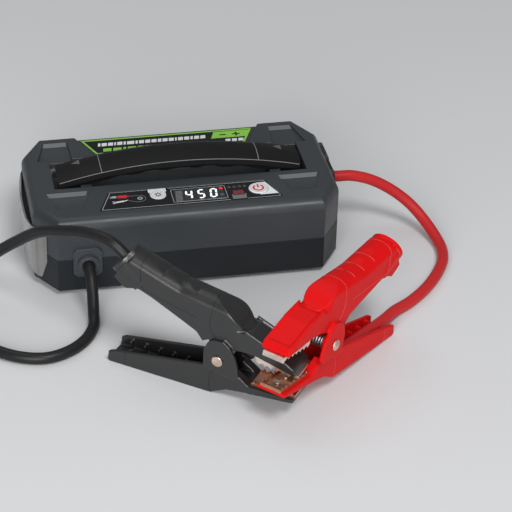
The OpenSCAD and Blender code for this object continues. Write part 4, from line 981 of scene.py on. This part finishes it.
# the upper jaw plates are the same copper as the lower ones, painted pale as a painted highlight
copper_painted_highlight = plated("copper_painted_highlight", (0.95, 0.80, 0.70), 0.30, scratches=700)
copper_brown = plated("copper_brown", (0.62, 0.31, 0.20), 0.34, scratches=700)
rivet_plate = plated("rivet_plate", (0.88, 0.66, 0.55), 0.32, scratches=300)
spring_wire = plated("spring_wire", (0.62, 0.62, 0.63), 0.26, scratches=900)
for colour in ("black", "red"):
    moulding(colour + "_upper_jaw", colour + "_top_plate", copper_painted_highlight, 0.0003)
    moulding(colour + "_lower_jaw", colour + "_bottom_plate", copper_brown, 0.0003)
    moulding(colour + "_pivot_rivet", colour + "_rivet", rivet_plate, 0.0005, steps=4)
    moulding(colour + "_lead_lug", colour + "_lug", copper_brown, 0.0003)
    moulding(colour + "_upper_jaw_rivets", colour + "_top_plate_rivets", zinc, 0.0002)
    moulding(colour + "_lower_jaw_rivets", colour + "_bottom_plate_rivets", zinc, 0.0002)


def wound(colour, place, long_end, short_end):
    """Six to eight turns of wire round the rivet, with one leg along each arm."""
    radius, half_coil, steps = 6, 7.5, 180
    start = math.atan2(long_end[1], long_end[0])
    stop = math.atan2(short_end[1], short_end[0]) - 14 * math.pi
    line = [(long_end[0], half_coil, long_end[1])]
    for k in range(steps + 1):
        a = start + (stop - start) * k / steps
        line.append((radius * math.cos(a), half_coil - 2 * half_coil * k / steps, radius * math.sin(a)))
    line.append((short_end[0], -half_coil, short_end[1]))
    node = colour + "_spring"
    coil = bead(colour + "_coil", [place @ p for p in mm(*line)], 0.0019, spring_wire,
                body=frame["nodes"][node]["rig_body"], sides=8)
    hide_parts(node)


wound("black", black_moving, (-34.2, 48.4), (-14, -14.5))
wound("red", red_fixed, (-27.2, -32.4), (-13, 15.5))


# ---------- inside ----------
# Four foil cells in a nylon tray with foam pads, copper bus bars, a power board with a relay and a
# control board under the panel. Nothing here shows from outside, so the exact shapes stay and take finishes.

def circuit(name, colour):
    """Solder-masked board with pale tracks under the lacquer."""
    board = moulded_finish(name, colour, 0.35, grain=700, depth=0.00002, wear_and_highlight=0.0, dust=0.02)
    tree = board.node_tree
    tracks = add(tree, "TexBrick", ("Vector", on_piece(tree)), ("Scale", 160.0), ("Mortar Size", 0.035))
    copper_under = tuple(min(1, c * 2.6 + 0.03) for c in colour) + (1,)
    masked = mix_colour(tree, tracks.outputs["Fac"], tuple(colour) + (1,), copper_under)
    tree.links.new(masked, tree.nodes["Principled BSDF"].inputs["Base Color"])
    return board


board_green = circuit("circuit_board", (0.02, 0.11, 0.04))
cell_foil = plated("cell_foil", (0.72, 0.73, 0.76), 0.38, scratches=160)
cell_foam = moulded_finish("cell_foam", (0.55, 0.55, 0.50), 0.9, grain=500, depth=0.0002,
                           wear_and_highlight=0.0, dust=0.1)
wire_jacket = moulded_finish("wire_jacket", (0.30, 0.02, 0.02), 0.45, grain=1200, wear_and_highlight=0.0, dust=0.05)
for finish, nodes in ((board_green, ("control_board", "power_board", "lamp_led_board")),
                      (cell_foil, ("battery_cells",)), (port_black, ("battery_tray", "relay")),
                      (cell_foam, ("cell_pads",)), (copper_brown, ("bus_bars",)),
                      (wire_jacket, ("cell_harness",))):
    for node in nodes:
        give(frame["nodes"][node], finish)

bpy.context.view_layer.update()
